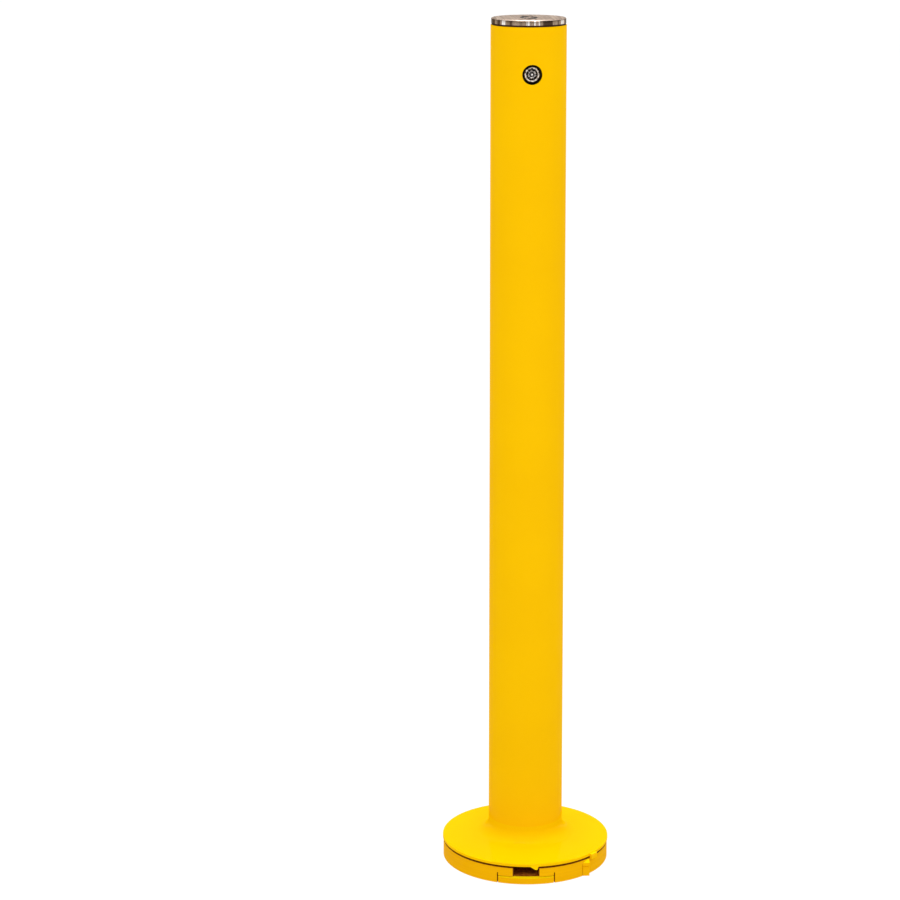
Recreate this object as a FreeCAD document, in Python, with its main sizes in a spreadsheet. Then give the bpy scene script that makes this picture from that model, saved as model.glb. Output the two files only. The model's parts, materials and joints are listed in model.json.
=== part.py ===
import FreeCAD, Part
import math
import os
import Sketcher

# Lift-out bollard: a painted tube on a flared foot, held to a low cast base by a T-shaped cam.
#
# Millimetres, +Z up, origin on the ground at the centre of the base.  The lock looks along -Y,
# which is the front.  A bearing is an angle about Z from the front, positive towards +X.
# The stainless cap turns a spindle, a long rod and the cam at its foot: a quarter turn hooks
# the cam under the keeper plate of the base.  A tubular-key lock pushes a bolt up into a
# plate on the spindle, which holds the cap either locked or free.


# ---------------------------------------------------------------- sizes

class Size:
    """A number together with the FreeCAD expression that gives it."""

    def __init__(self, value, text):
        self.value = float(value)
        self.text = text

    def joined(self, other, sign, value, swapped=False):
        pair = (other.text, self.text) if swapped else (self.text, other.text)
        return Size(value, f"({pair[0]} {sign} {pair[1]})")

    def __add__(self, other):
        other = size(other)
        return self.joined(other, "+", self.value + other.value)

    def __radd__(self, other):
        return size(other) + self

    def __sub__(self, other):
        other = size(other)
        return self.joined(other, "-", self.value - other.value)

    def __rsub__(self, other):
        return size(other) - self

    def __mul__(self, other):
        other = size(other)
        return self.joined(other, "*", self.value * other.value)

    def __rmul__(self, other):
        return size(other) * self

    def __truediv__(self, other):
        other = size(other)
        return self.joined(other, "/", self.value / other.value)

    def __neg__(self):
        return size(0) - self


def size(number):
    """number as a Size, so that plain numbers and sheet cells mix in one formula."""
    return number if isinstance(number, Size) else Size(number, repr(float(number)))


def cosine(angle):
    """Cosine of an angle in degrees."""
    return Size(math.cos(math.radians(angle.value)), f"cos({angle.text} * 1 deg)")


def sine(angle):
    """Sine of an angle in degrees."""
    return Size(math.sin(math.radians(angle.value)), f"sin({angle.text} * 1 deg)")


def root(number):
    """Square root."""
    return Size(math.sqrt(number.value), f"sqrt({number.text})")


doc = FreeCAD.newDocument("Bollard")
sheet = doc.addObject("Spreadsheet::Sheet", "Sizes")
rows_used = 0


def cell(alias, value, meaning):
    """Writes one driving dimension into the sheet and returns it as a Size."""
    global rows_used
    rows_used += 1
    sheet.set(f"A{rows_used}", alias)
    sheet.set(f"B{rows_used}", repr(float(value)))
    sheet.set(f"C{rows_used}", meaning)
    sheet.setAlias(f"B{rows_used}", alias)
    return Size(value, f"Sizes.{alias}")


# Fits
running_gap = cell("running_gap", 0.05, "radial clearance of a shaft that turns in a hole")
seat_gap = cell("seat_gap", 0.05, "radial clearance of a ring that is pressed or glued in")
free_gap = cell("free_gap", 0.3, "clearance between faces that pass each other")
screw_gap = cell("screw_gap", 0.05, "clearance around a screw in its hole")

# Post
tube_radius = cell("tube_radius", 44.45, "outside of the post tube")
tube_wall = cell("tube_wall", 3.2, "wall of the post tube")
tube_bottom = cell("tube_bottom", 50, "height of the joint between tube and foot")
tube_top = cell("tube_top", 1012, "height of the tube's upper edge")

# Flared foot
flange_radius = cell("flange_radius", 100.3, "outside of the foot")
flange_underside = cell("flange_underside", 22.1, "height of the foot's underside")
rim_top = cell("rim_top", 26, "height of the foot's upper edge at the rim")
rim_round = cell("rim_round", 1.4, "rounding of the rim")
crown_top = cell("crown_top", 29.6, "height where the foot starts to flare up")
crown_radius = cell("crown_radius", 260, "radius of the gentle crown of the foot")
flare_radius = cell("flare_radius", 15.5, "concave radius between foot and tube")
spigot_wall = cell("spigot_wall", 3.6, "wall of the foot's spigot inside the tube")
spigot_length = cell("spigot_length", 20, "length of the spigot above the joint")
core_depth = cell("core_depth", 1.8, "depth of the cored recess under the foot")
core_margin = cell("core_margin", 4, "width of the lands beside the cored recess")
tooth_bearing = cell("tooth_bearing", 1.65, "bearing of the tip of the front tooth")
tooth_flat = cell("tooth_flat", 1.5, "angle of the flat tip of the tooth")
tooth_left = cell("tooth_left", 3.1, "angle from the flat tip to the tooth's left end")
tooth_right = cell("tooth_right", 0.8, "angle from the flat tip to the tooth's right end")
tooth_tip = cell("tooth_tip", 19.1, "height of the tooth's tip")
tooth_depth = cell("tooth_depth", 4.5, "radial thickness of the tooth")
tooth_proud = cell("tooth_proud", 2, "how far the tooth's tip stands out from the rim")
hook_bearing = cell("hook_bearing", 47.6, "bearing of the side hook")
hook_angle = cell("hook_angle", 6, "angle that the side hook spans")
hook_drop = cell("hook_drop", 3.6, "drop of the side hook below the foot's underside")
hook_proud = cell("hook_proud", 3.2, "how far the side hook stands out from the rim")
bush_wall = cell("bush_wall", 2.4, "wall of the nylon bush in the foot")
bush_low = cell("bush_low", 28, "height of the foot bush's lower end")

# Base
base_radius = cell("base_radius", 99.5, "outside of the base")
base_height = cell("base_height", 19.4, "height of the base's rim")
base_wall = cell("base_wall", 6.5, "thickness of the base's rim")
base_floor = cell("base_floor", 8, "thickness of the base's floor")
base_turn = cell("base_turn", -5.2, "bearing of the middle of the front notch")
notch_angle = cell("notch_angle", 18.4, "angle that the front notch spans")
notch_floor = cell("notch_floor", 9.3, "height of the notch's sill")
sill_angle = cell("sill_angle", 39.8, "angle that the sill block spans")
sill_depth = cell("sill_depth", 12.5, "radial depth of the sill block")
slit_angle = cell("slit_angle", 0.75, "angle of the slit at each end of the sill block")
slit_height = cell("slit_height", 12.7, "height of the slits")
lug_front = cell("lug_front", 78.2, "distance of the stop lug's front face from the centre")
lug_side = cell("lug_side", 69.4, "distance of the stop lug's side face from the centre")
lug_width = cell("lug_width", 13, "width of the stop lug, its left part inside the rim")
lug_drop = cell("lug_drop", 0.2, "how far the lug's top lies below the base's rim")
lug_slope = cell("lug_slope", 3.2, "drop of the sloping top of the stop lug")
boss_height = cell("boss_height", 58, "height of the central boss")
cavity_gap = cell("cavity_gap", 1.6, "gap around the cam's ends as it turns")
cavity_floor = cell("cavity_floor", 28, "height of the cavity's floor")
drain_radius = cell("drain_radius", 6, "radius of the drain hole")
boss_lip = cell("boss_lip", 3, "wall around the keeper plate")
keeper_thickness = cell("keeper_thickness", 8, "thickness of the keeper plate")
land_step = cell("land_step", 9, "channel between the boss and the seat land")
land_width = cell("land_width", 18, "width of the seat land")
land_height = cell("land_height", 18, "height of the seat land")
pad_inset = cell("pad_inset", 2, "inset of the nylon seat ring from the land's edges")
anchor_hole_radius = cell("anchor_hole_radius", 7, "radius of each anchor hole")

# Cam and rod
slot_length = cell("slot_length", 44, "length of the slot in the keeper plate")
slot_width = cell("slot_width", 18, "width of the slot in the keeper plate")
cam_gap = cell("cam_gap", 1, "gap around the cam as it drops through the slot")
cam_thickness = cell("cam_thickness", 8, "thickness of the cam")
cam_lift = cell("cam_lift", 0.4, "gap between the cam and the keeper plate")
rod_radius = cell("rod_radius", 7, "radius of the drive rod")
rod_end_radius = cell("rod_end_radius", 4, "radius of the rod's stepped lower end")
nut_height = cell("nut_height", 6.5, "height of the cam nut")
nut_across = cell("nut_across", 13, "width across the flats of the cam nut")
guide_thickness = cell("guide_thickness", 8, "thickness of each rod guide")
guide_low = cell("guide_low", 76, "height of the lower rod guide's underside")
guide_bush_wall = cell("guide_bush_wall", 3, "wall of the rod bush")

# Head
cap_inset = cell("cap_inset", 0.55, "cap's edge behind the tube's surface")
cap_thickness = cell("cap_thickness", 6.7, "thickness of the cap")
cap_round = cell("cap_round", 1.8, "rounding of the cap's upper edge")
cap_lift = cell("cap_lift", 1.7, "gap between the tube and the cap")
head_drop = cell("head_drop", 3, "head block's top below the tube's edge")
head_thickness = cell("head_thickness", 24, "thickness of the head block")
washer_thickness = cell("washer_thickness", 0.6, "thickness of the thrust washer")
spindle_radius = cell("spindle_radius", 10, "radius of the spindle")
spindle_flange_radius = cell("spindle_flange_radius", 22, "radius of the spindle's flange")
spindle_drop = cell("spindle_drop", 86, "spindle's lower end below the tube's edge")
head_bush_wall = cell("head_bush_wall", 4, "wall of the bronze bush")
spring_height = cell("spring_height", 1.8, "height of the disc spring")
plate_thickness = cell("plate_thickness", 6, "thickness of the index plate")
plate_radius = cell("plate_radius", 24, "radius of the index plate")
clip_thickness = cell("clip_thickness", 1.5, "thickness of the retaining ring")
clip_radius = cell("clip_radius", 12.8, "outside of the retaining ring")
groove_depth = cell("groove_depth", 0.8, "depth of the groove for the retaining ring")
stop_pin_radius = cell("stop_pin_radius", 2, "radius of the stop pin")
turn_range = cell("turn_range", 90, "angle that the cap turns through")
seal_wall = cell("seal_wall", 3, "wall of the rubber seal under the cap")
seal_margin = cell("seal_margin", 1.8, "distance from the seal to the tube's bore")

# Lock
lock_drop = cell("lock_drop", 54.7, "lock's axis below the tube's edge")
lock_hole_radius = cell("lock_hole_radius", 11.7, "radius of the hole in the tube")
lock_recess = cell("lock_recess", 5, "lock's face behind the tube's surface")
barrel_head_radius = cell("barrel_head_radius", 9.2, "radius of the lock's head")
barrel_head_length = cell("barrel_head_length", 5.5, "length of the lock's head")
barrel_radius = cell("barrel_radius", 8, "radius of the threaded barrel")
barrel_length = cell("barrel_length", 18.5, "whole length of the barrel")
keyway_radius = cell("keyway_radius", 6.4, "outside of the ring-shaped keyway")
keyway_width = cell("keyway_width", 1.5, "width of the ring-shaped keyway")
keyway_depth = cell("keyway_depth", 6.5, "depth of the keyway")
tumbler_radius = cell("tumbler_radius", 0.55, "radius of a tumbler pin")
tail_radius = cell("tail_radius", 4, "radius of the core's tail")
barrel_lip = cell("barrel_lip", 1.5, "lip at the rear of the barrel")
jam_nut_across = cell("jam_nut_across", 21, "width across the flats of the barrel nut")
jam_nut_length = cell("jam_nut_length", 3.5, "thickness of the barrel nut")
crank_thickness = cell("crank_thickness", 3, "thickness of the crank disc")
crank_throw = cell("crank_throw", 6.7, "distance from the lock's axis to the crank pin")
crank_pin_radius = cell("crank_pin_radius", 1.5, "radius of the crank pin")
crank_rim = cell("crank_rim", 0.8, "metal around the crank pin")
bolt_thickness = cell("bolt_thickness", 3.8, "thickness of the lock bolt")
bolt_width = cell("bolt_width", 13, "width of the lock bolt")
bolt_height = cell("bolt_height", 20, "height of the lock bolt's body")
bolt_slack = cell("bolt_slack", 0.35, "gap above and below the crank pin in the bolt")
tongue_width = cell("tongue_width", 8, "width of the bolt's tongue")
tongue_short = cell("tongue_short", 1, "tongue's top below the index plate's, when raised")
cover_thickness = cell("cover_thickness", 2, "thickness of the carrier's cover")
carrier_half_width = cell("carrier_half_width", 20, "half the width of the lock carrier")
carrier_below = cell("carrier_below", 20, "carrier below the lock's axis")
carrier_gap = cell("carrier_gap", 4, "gap between the carrier and the index plate")
pillar_size = cell("pillar_size", 8, "width of the carrier's two pillars")
wall_clearance = cell("wall_clearance", 0.4, "gap between the carrier and the tube")

# Screws and pins
keeper_screw = cell("keeper_screw", 2, "radius of the keeper plate's screws")
keeper_screw_length = cell("keeper_screw_length", 14, "length of the keeper plate's screws")
screw_margin = cell("screw_margin", 0.7, "metal between a keeper screw's head and the edge")
sill_screw = cell("sill_screw", 1.5, "radius of the sill block's screws")
sill_screw_length = cell("sill_screw_length", 14, "length of the sill block's screws")
carrier_screw = cell("carrier_screw", 2.5, "radius of the screws that hold the carrier")
carrier_screw_grip = cell("carrier_screw_grip", 12, "reach of those screws into the carrier")
cap_screw = cell("cap_screw", 2, "radius of the cap's screws")
cap_screw_length = cell("cap_screw_length", 8, "length of the cap's screws")
crank_screw = cell("crank_screw", 1.5, "radius of the crank's screw")
crank_screw_length = cell("crank_screw_length", 6, "reach of the crank's screw into the core")
cover_screw = cell("cover_screw", 1.5, "radius of the cover's screws")
cover_screw_length = cell("cover_screw_length", 7, "length of the cover's screws")
rod_pin_radius = cell("rod_pin_radius", 2.5, "radius of the pin through spindle and rod")

SOCKET_SHARE = 0.5
TUMBLERS = 7
ANCHORS = 4


# ---------------------------------------------------------------- worked-out sizes

tube_bore = tube_radius - tube_wall
spigot_radius = tube_bore - seat_gap
spigot_bore = spigot_radius - spigot_wall
bush_outside = spigot_bore - seat_gap
bush_bore = bush_outside - bush_wall
boss_radius = bush_bore - running_gap * 2
spigot_top = tube_bottom + spigot_length

keeper_radius = boss_radius - boss_lip
keeper_underside = boss_height - keeper_thickness
cavity_radius = slot_length / 2 - cam_gap + cavity_gap
keeper_screw_circle = keeper_radius - keeper_screw * 2 - screw_margin
land_inner = boss_radius + land_step
land_outer = land_inner + land_width
floor_outer = base_radius - base_wall
anchor_circle = (land_outer + floor_outer) / 2

cam_top = keeper_underside - cam_lift
cam_underside = cam_top - cam_thickness
guide_middle = (tube_bottom + tube_top) / 2

cap_underside = tube_top + cap_lift
cap_radius = tube_radius - cap_inset
head_top = tube_top - head_drop
head_underside = head_top - head_thickness
spindle_flange_underside = head_top + washer_thickness + free_gap / 3
spring_low = head_underside - spring_height - free_gap / 3
plate_top = spring_low - free_gap / 3
plate_underside = plate_top - plate_thickness
clip_top = plate_underside - running_gap
clip_underside = clip_top - clip_thickness
spindle_low = tube_top - spindle_drop
rod_socket_radius = rod_radius + running_gap
rod_top = spindle_low + spindle_drop * 0.32

lock_z = tube_top - lock_drop
face_y = lock_recess - tube_radius
barrel_rear_y = face_y + barrel_length
crank_front_y = barrel_rear_y + free_gap
crank_rear_y = crank_front_y + crank_thickness
bolt_front_y = crank_rear_y + free_gap
bolt_rear_y = bolt_front_y + bolt_thickness
cover_front_y = bolt_rear_y + free_gap
cover_rear_y = cover_front_y + cover_thickness
carrier_front_y = face_y + barrel_head_length + jam_nut_length
carrier_top = plate_underside - carrier_gap
bolt_y = (bolt_front_y + bolt_rear_y) / 2

# The crank pin starts 45 degrees below the lock's axis and ends 45 degrees above it.
CRANK_START = Size(-45, "-45")
pin_x = crank_throw * cosine(CRANK_START)
pin_z = crank_throw * sine(CRANK_START)
bolt_x = (crank_throw + pin_x) / 2
bolt_low_z = lock_z + pin_z - bolt_height / 2
bolt_high_z = bolt_low_z + bolt_height
bolt_travel = -2 * pin_z
tongue_top = plate_top - tongue_short - bolt_travel
pillar_x = carrier_half_width
pillar_y = -root((tube_bore - wall_clearance) * (tube_bore - wall_clearance)
                 - (pillar_x + pillar_size / 2) * (pillar_x + pillar_size / 2)) + pillar_size / 2


# ---------------------------------------------------------------- drawing helpers

def new_name(stem):
    """stem with a number, for the hidden steps of a piece."""
    count = sum(1 for item in doc.Objects if item.Name.startswith(stem + "_"))
    return f"{stem}_{count + 1}"


def bind(item, prop, amount):
    """Sets a property to a Size and keeps it tied to the sheet."""
    amount = size(amount)
    item.setExpression(prop, amount.text)


def place(item, x=0, y=0, z=0):
    """Moves a piece to x, y, z, each tied to the sheet."""
    for axis, amount in (("x", x), ("y", y), ("z", z)):
        if size(amount).value or isinstance(amount, Size):
            bind(item, f"Placement.Base.{axis}", amount)
    return item


def origin_plane(body, role):
    """One of the body's own origin planes."""
    return next(item for item in body.Origin.OriginFeatures if item.Role == role)


def new_body(name):
    return doc.addObject("PartDesign::Body", name)


def hold_point(sketch, geometry, end, x, y):
    """Holds one end of a line or arc at x, y from the sketch's origin."""
    for kind, amount, axis in (("DistanceX", x, -2), ("DistanceY", y, -1)):
        if amount.value == 0 and not amount.text.startswith("("):
            sketch.addConstraint(Sketcher.Constraint("PointOnObject", geometry, end, axis))
            continue
        index = sketch.addConstraint(
            Sketcher.Constraint(kind, -1, 1, geometry, end, amount.value))
        sketch.setExpression(f"Constraints[{index}]", amount.text)


def arc_between(start, finish, radius):
    """The short arc from start to finish, its centre on the left if radius is positive."""
    a = FreeCAD.Vector(start[0].value, start[1].value, 0)
    b = FreeCAD.Vector(finish[0].value, finish[1].value, 0)
    half = (b - a) * 0.5
    left = FreeCAD.Vector(-half.y, half.x, 0).normalize()
    rise = math.sqrt(radius.value ** 2 - half.Length ** 2)
    side = 1 if radius.value > 0 else -1
    centre = a + half + left * rise * side
    circle = Part.Circle(centre, FreeCAD.Vector(0, 0, 1), abs(radius.value))
    first, last = (a, b) if side > 0 else (b, a)
    return Part.ArcOfCircle(circle, circle.parameter(first), circle.parameter(last))


def outline(body, plane, points, offset=None):
    """A closed sketch through points (x, y).  A third item is the radius of an arc to the
    next point, positive where the outline turns left along it."""
    sketch = body.newObject("Sketcher::SketchObject", new_name(body.Name + "_outline"))
    sketch.AttachmentSupport = (origin_plane(body, plane), [""])
    sketch.MapMode = "FlatFace"
    if offset is not None:
        bind(sketch, "AttachmentOffset.Base.z", offset)
    points = [tuple(size(item) for item in point) for point in points]
    starts, ends = [], []
    for index, point in enumerate(points):
        following = points[(index + 1) % len(points)]
        if len(point) == 3:
            shape = arc_between(point, following, point[2])
            starts.append(1 if point[2].value > 0 else 2)
            ends.append(2 if point[2].value > 0 else 1)
        else:
            shape = Part.LineSegment(FreeCAD.Vector(point[0].value, point[1].value, 0),
                                     FreeCAD.Vector(following[0].value, following[1].value, 0))
            starts.append(1)
            ends.append(2)
        sketch.addGeometry(shape, False)
    for index, point in enumerate(points):
        before = (index - 1) % len(points)
        sketch.addConstraint(
            Sketcher.Constraint("Coincident", before, ends[before], index, starts[index]))
        hold_point(sketch, index, starts[index], point[0], point[1])
        if len(point) == 3:
            bound = point[2] if point[2].value > 0 else -point[2]
            row = sketch.addConstraint(Sketcher.Constraint("Radius", index, bound.value))
            sketch.setExpression(f"Constraints[{row}]", bound.text)
    return sketch


def circle_sketch(body, plane, x, y, radius, offset=None):
    """A sketch with one circle."""
    sketch = body.newObject("Sketcher::SketchObject", new_name(body.Name + "_circle"))
    sketch.AttachmentSupport = (origin_plane(body, plane), [""])
    sketch.MapMode = "FlatFace"
    if offset is not None:
        bind(sketch, "AttachmentOffset.Base.z", offset)
    x, y, radius = size(x), size(y), size(radius)
    centre = FreeCAD.Vector(x.value, y.value, 0)
    sketch.addGeometry(Part.Circle(centre, FreeCAD.Vector(0, 0, 1), radius.value), False)
    hold_point(sketch, 0, 3, x, y)
    row = sketch.addConstraint(Sketcher.Constraint("Radius", 0, radius.value))
    sketch.setExpression(f"Constraints[{row}]", radius.text)
    return sketch


def turn(body, sketch):
    """Revolves a sketch about its own upright axis."""
    feature = body.newObject("PartDesign::Revolution", new_name(body.Name + "_turn"))
    feature.Profile = sketch
    feature.ReferenceAxis = (sketch, ["V_Axis"])
    feature.Angle = 360
    sketch.Visibility = False
    return feature


def turned(name, points, plane="XZ_Plane"):
    """A body turned on a lathe: points are (radius, distance along the axis)."""
    body = new_body(name)
    turn(body, outline(body, plane, points))
    return body


def ring(name, inner, outer, low, high):
    """A plain ring or tube about Z."""
    return turned(name, [(inner, low), (outer, low), (outer, high), (inner, high)])


def pad(body, sketch, length, reverse=False):
    feature = body.newObject("PartDesign::Pad", new_name(body.Name + "_pad"))
    feature.Profile = sketch
    bind(feature, "Length", length)
    feature.Reversed = reverse
    return feature


def pocket(body, sketch, length, reverse=False):
    feature = body.newObject("PartDesign::Pocket", new_name(body.Name + "_pocket"))
    feature.Profile = sketch
    bind(feature, "Length", length)
    feature.Reversed = reverse
    return feature


def repeat_about_z(body, feature, count):
    """Repeats a feature evenly about the body's Z axis."""
    pattern = body.newObject("PartDesign::PolarPattern", new_name(body.Name + "_pattern"))
    pattern.Originals = [feature]
    axis = next(item for item in body.Origin.OriginFeatures if item.Role == "Z_Axis")
    pattern.Axis = (axis, [""])
    pattern.Angle = 360
    pattern.Occurrences = count
    body.Tip = pattern
    return pattern


ALONG_Y = FreeCAD.Rotation(FreeCAD.Vector(1, 0, 0), -90)


def cylinder(stem, radius, length, x=0, y=0, z=0, rotation=None):
    item = doc.addObject("Part::Cylinder", new_name(stem))
    bind(item, "Radius", radius)
    bind(item, "Height", length)
    if rotation:
        item.Placement.Rotation = rotation
    return place(item, x, y, z)


def block(stem, low, high):
    """A box between two corners."""
    item = doc.addObject("Part::Box", new_name(stem))
    for prop, a, b in zip(("Length", "Width", "Height"), low, high):
        bind(item, prop, size(b) - size(a))
    return place(item, *low)


def hexagon(stem, across, length, x=0, y=0, z=0, rotation=None):
    item = doc.addObject("Part::Prism", new_name(stem))
    item.Polygon = 6
    bind(item, "Circumradius", across / 2 / math.cos(math.pi / 6))
    bind(item, "Height", length)
    if rotation:
        item.Placement.Rotation = rotation
    return place(item, x, y, z)


def cut(stem, base, *tools):
    """base with each tool taken away, one after another."""
    for tool in tools:
        item = doc.addObject("Part::Cut", new_name(stem))
        item.Base = base
        item.Tool = tool
        base = item
    return base


def fuse(stem, *items):
    item = doc.addObject("Part::MultiFuse", new_name(stem))
    item.Shapes = list(items)
    item.Refine = True
    return item


def common(stem, a, b):
    item = doc.addObject("Part::Common", new_name(stem))
    item.Base = a
    item.Tool = b
    return item


def sector(stem, inner, outer, low, high, bearing, width):
    """A ring-shaped block that spans width degrees about a bearing."""
    whole = cylinder(stem, outer, size(high) - low, z=low)
    bind(whole, "Angle", width)
    whole.Placement.Rotation = FreeCAD.Rotation(FreeCAD.Vector(0, 0, 1), 1)
    bind(whole, "Placement.Rotation.Angle", size(bearing) - 90 - size(width) / 2)
    return cut(stem, whole, cylinder(stem, inner, size(high) - low + 2, z=size(low) - 1))


def group(name, items):
    """Identical pieces that share one node."""
    item = doc.addObject("Part::Compound", name)
    item.Links = items
    return item


def finished(name, item):
    """Gives the last step of a piece the piece's own name."""
    item.Label = name
    kept.append(item)
    return item


kept = []


def countersunk_screw(stem, radius, length, x, y, z, upright=True):
    """A countersunk screw with a hexagon socket, its head's face at z and its shank below,
    or above where upright is False."""
    head = doc.addObject("Part::Cone", new_name(stem))
    bind(head, "Radius1", radius)
    bind(head, "Radius2", radius * 2)
    bind(head, "Height", radius)
    place(head, z=-radius)
    shank = cylinder(stem, radius, length - radius, z=-length)
    screw = cut(stem, fuse(stem, head, shank),
                hexagon(stem, radius * 1.2, radius * SOCKET_SHARE * 2, z=-radius * SOCKET_SHARE))
    if not upright:
        screw.Placement.Rotation = FreeCAD.Rotation(FreeCAD.Vector(1, 0, 0), 180)
    return place(screw, x, y, z)


def countersunk_hole(stem, radius, length, x, y, z, upright=True):
    """The space that a countersunk screw fills, with its clearance."""
    head = doc.addObject("Part::Cone", new_name(stem))
    bind(head, "Radius1", radius + screw_gap)
    bind(head, "Radius2", radius * 3 + screw_gap)
    bind(head, "Height", radius * 2)
    place(head, z=-radius)
    shank = cylinder(stem, radius + screw_gap, length, z=-length)
    hole = fuse(stem, head, shank)
    if not upright:
        hole.Placement.Rotation = FreeCAD.Rotation(FreeCAD.Vector(1, 0, 0), 180)
    return place(hole, x, y, z)


# ---------------------------------------------------------------- base

def screw_places(circle, count, first):
    """count places on a circle, the first at the angle first from +X."""
    angles = [first + 360 / count * index for index in range(count)]
    return [(circle * math.cos(math.radians(a)), circle * math.sin(math.radians(a)))
            for a in angles]


keeper_screw_places = screw_places(keeper_screw_circle, 4, 45)


def at_bearing(radius, bearing):
    """The place at a radius and bearing, where 0 is the front."""
    return radius * sine(bearing), -(radius * cosine(bearing))


sill_screw_places = [
    at_bearing(floor_outer + sill_screw * 2, base_turn + side * (notch_angle + sill_angle) / 4)
    for side in (-1, 1)]


def base_casting():
    """A dish with a rim, a seat land, a tall boss and a floor for the anchors."""
    dish = turned("base_dish", [
        (drain_radius, 0), (base_radius, 0), (base_radius, base_height),
        (floor_outer, base_height), (floor_outer, base_floor), (land_outer, base_floor),
        (land_outer, land_height), (land_inner, land_height), (land_inner, base_floor),
        (boss_radius, base_floor), (boss_radius, boss_height),
        (keeper_radius + seat_gap, boss_height), (keeper_radius + seat_gap, keeper_underside),
        (cavity_radius, keeper_underside), (cavity_radius, cavity_floor),
        (drain_radius, cavity_floor)])
    # The stop lug is a square block with a sloping top; the ring crosses its back.
    lug_back = lug_front - base_wall
    lug = new_body("base_lug")
    sketch = outline(lug, "YZ_Plane", [
        (-lug_front, 0), (-lug_back, 0), (-lug_back, base_height - lug_drop),
        (-(lug_front - lug_slope), base_height - lug_drop),
        (-lug_front, base_height - lug_drop - lug_slope)], offset=lug_side - lug_width)
    pad(lug, sketch, lug_width)
    whole = fuse("base_step", dish, lug)
    notch = sector("base_notch", floor_outer - 2, base_radius + 2, notch_floor,
                   base_height + 2, base_turn, notch_angle)
    sill_inner = base_radius - sill_depth
    sill_room = sector("base_sill_room", sill_inner - seat_gap, base_radius + 2, -1,
                       notch_floor, base_turn, sill_angle + slit_angle)
    slits = [sector("base_slit", floor_outer - 2, base_radius + 2, -1, slit_height,
                    base_turn + side * sill_angle / 2, slit_angle) for side in (-1, 1)]
    anchor_holes = [cylinder("base_anchor", anchor_hole_radius, base_floor + 2, x, y, -1)
                    for x, y in screw_places(anchor_circle, ANCHORS, 45)]
    keeper_holes = [cylinder("base_tapping", keeper_screw + screw_gap, keeper_screw_length,
                             x, y, boss_height - keeper_screw_length - 1)
                    for x, y in keeper_screw_places]
    sill_holes = [cylinder("base_sill_tapping", sill_screw + screw_gap, sill_screw_length + 1,
                           x, y, 0) for x, y in sill_screw_places]
    finished("base_casting", cut("base_step", whole, notch, sill_room, *slits, *anchor_holes,
                                 *keeper_holes, *sill_holes))


def sill_block():
    """The curved block that closes the rim under the notch."""
    inner = base_radius - sill_depth
    whole = sector("sill", inner, base_radius, 0, notch_floor - seat_gap, base_turn,
                   sill_angle - slit_angle)
    holes = [countersunk_hole("sill_hole", sill_screw, sill_screw_length, x, y, 0.3, False)
             for x, y in sill_screw_places]
    finished("sill_block", cut("sill", whole, *holes))
    finished("sill_screws", group("sill_screw_set", [
        countersunk_screw("sill_screw", sill_screw, sill_screw_length, x, y, 0.3, False)
        for x, y in sill_screw_places]))


def rounded_slot(body, length, width, low):
    """A slot outline along X at height low."""
    return outline(body, "XY_Plane", [
        (-(length / 2), -(width / 2)), (length / 2, -(width / 2)),
        (length / 2, width / 2), (-(length / 2), width / 2)], offset=low)


def keeper_plate():
    """The hardened plate that the cam hooks under."""
    body = turned("keeper_disc", [
        (0, keeper_underside), (keeper_radius, keeper_underside),
        (keeper_radius, boss_height), (0, boss_height)])
    pocket(body, rounded_slot(body, slot_length, slot_width, boss_height), keeper_thickness + 1)
    holes = [countersunk_hole("keeper_hole", keeper_screw, keeper_screw_length, x, y, boss_height)
             for x, y in keeper_screw_places]
    finished("keeper_plate", cut("keeper_step", body, *holes))
    finished("keeper_screws", group("keeper_screw_set", [
        countersunk_screw("keeper_screw", keeper_screw, keeper_screw_length, x, y, boss_height)
        for x, y in keeper_screw_places]))


def seat_ring():
    """The nylon ring that the foot rests on."""
    finished("seat_ring", ring("seat_ring_body", land_inner + pad_inset, land_outer - pad_inset,
                               land_height, flange_underside))


# ---------------------------------------------------------------- post

def post_tube():
    """The painted tube with the hole for the lock."""
    body = ring("post_tube_body", tube_bore, tube_radius, tube_bottom, tube_top)
    hole = circle_sketch(body, "XZ_Plane", 0, lock_z, lock_hole_radius)
    pocket(body, hole, tube_radius + 2, reverse=True)
    finished("post_tube", body)


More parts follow.
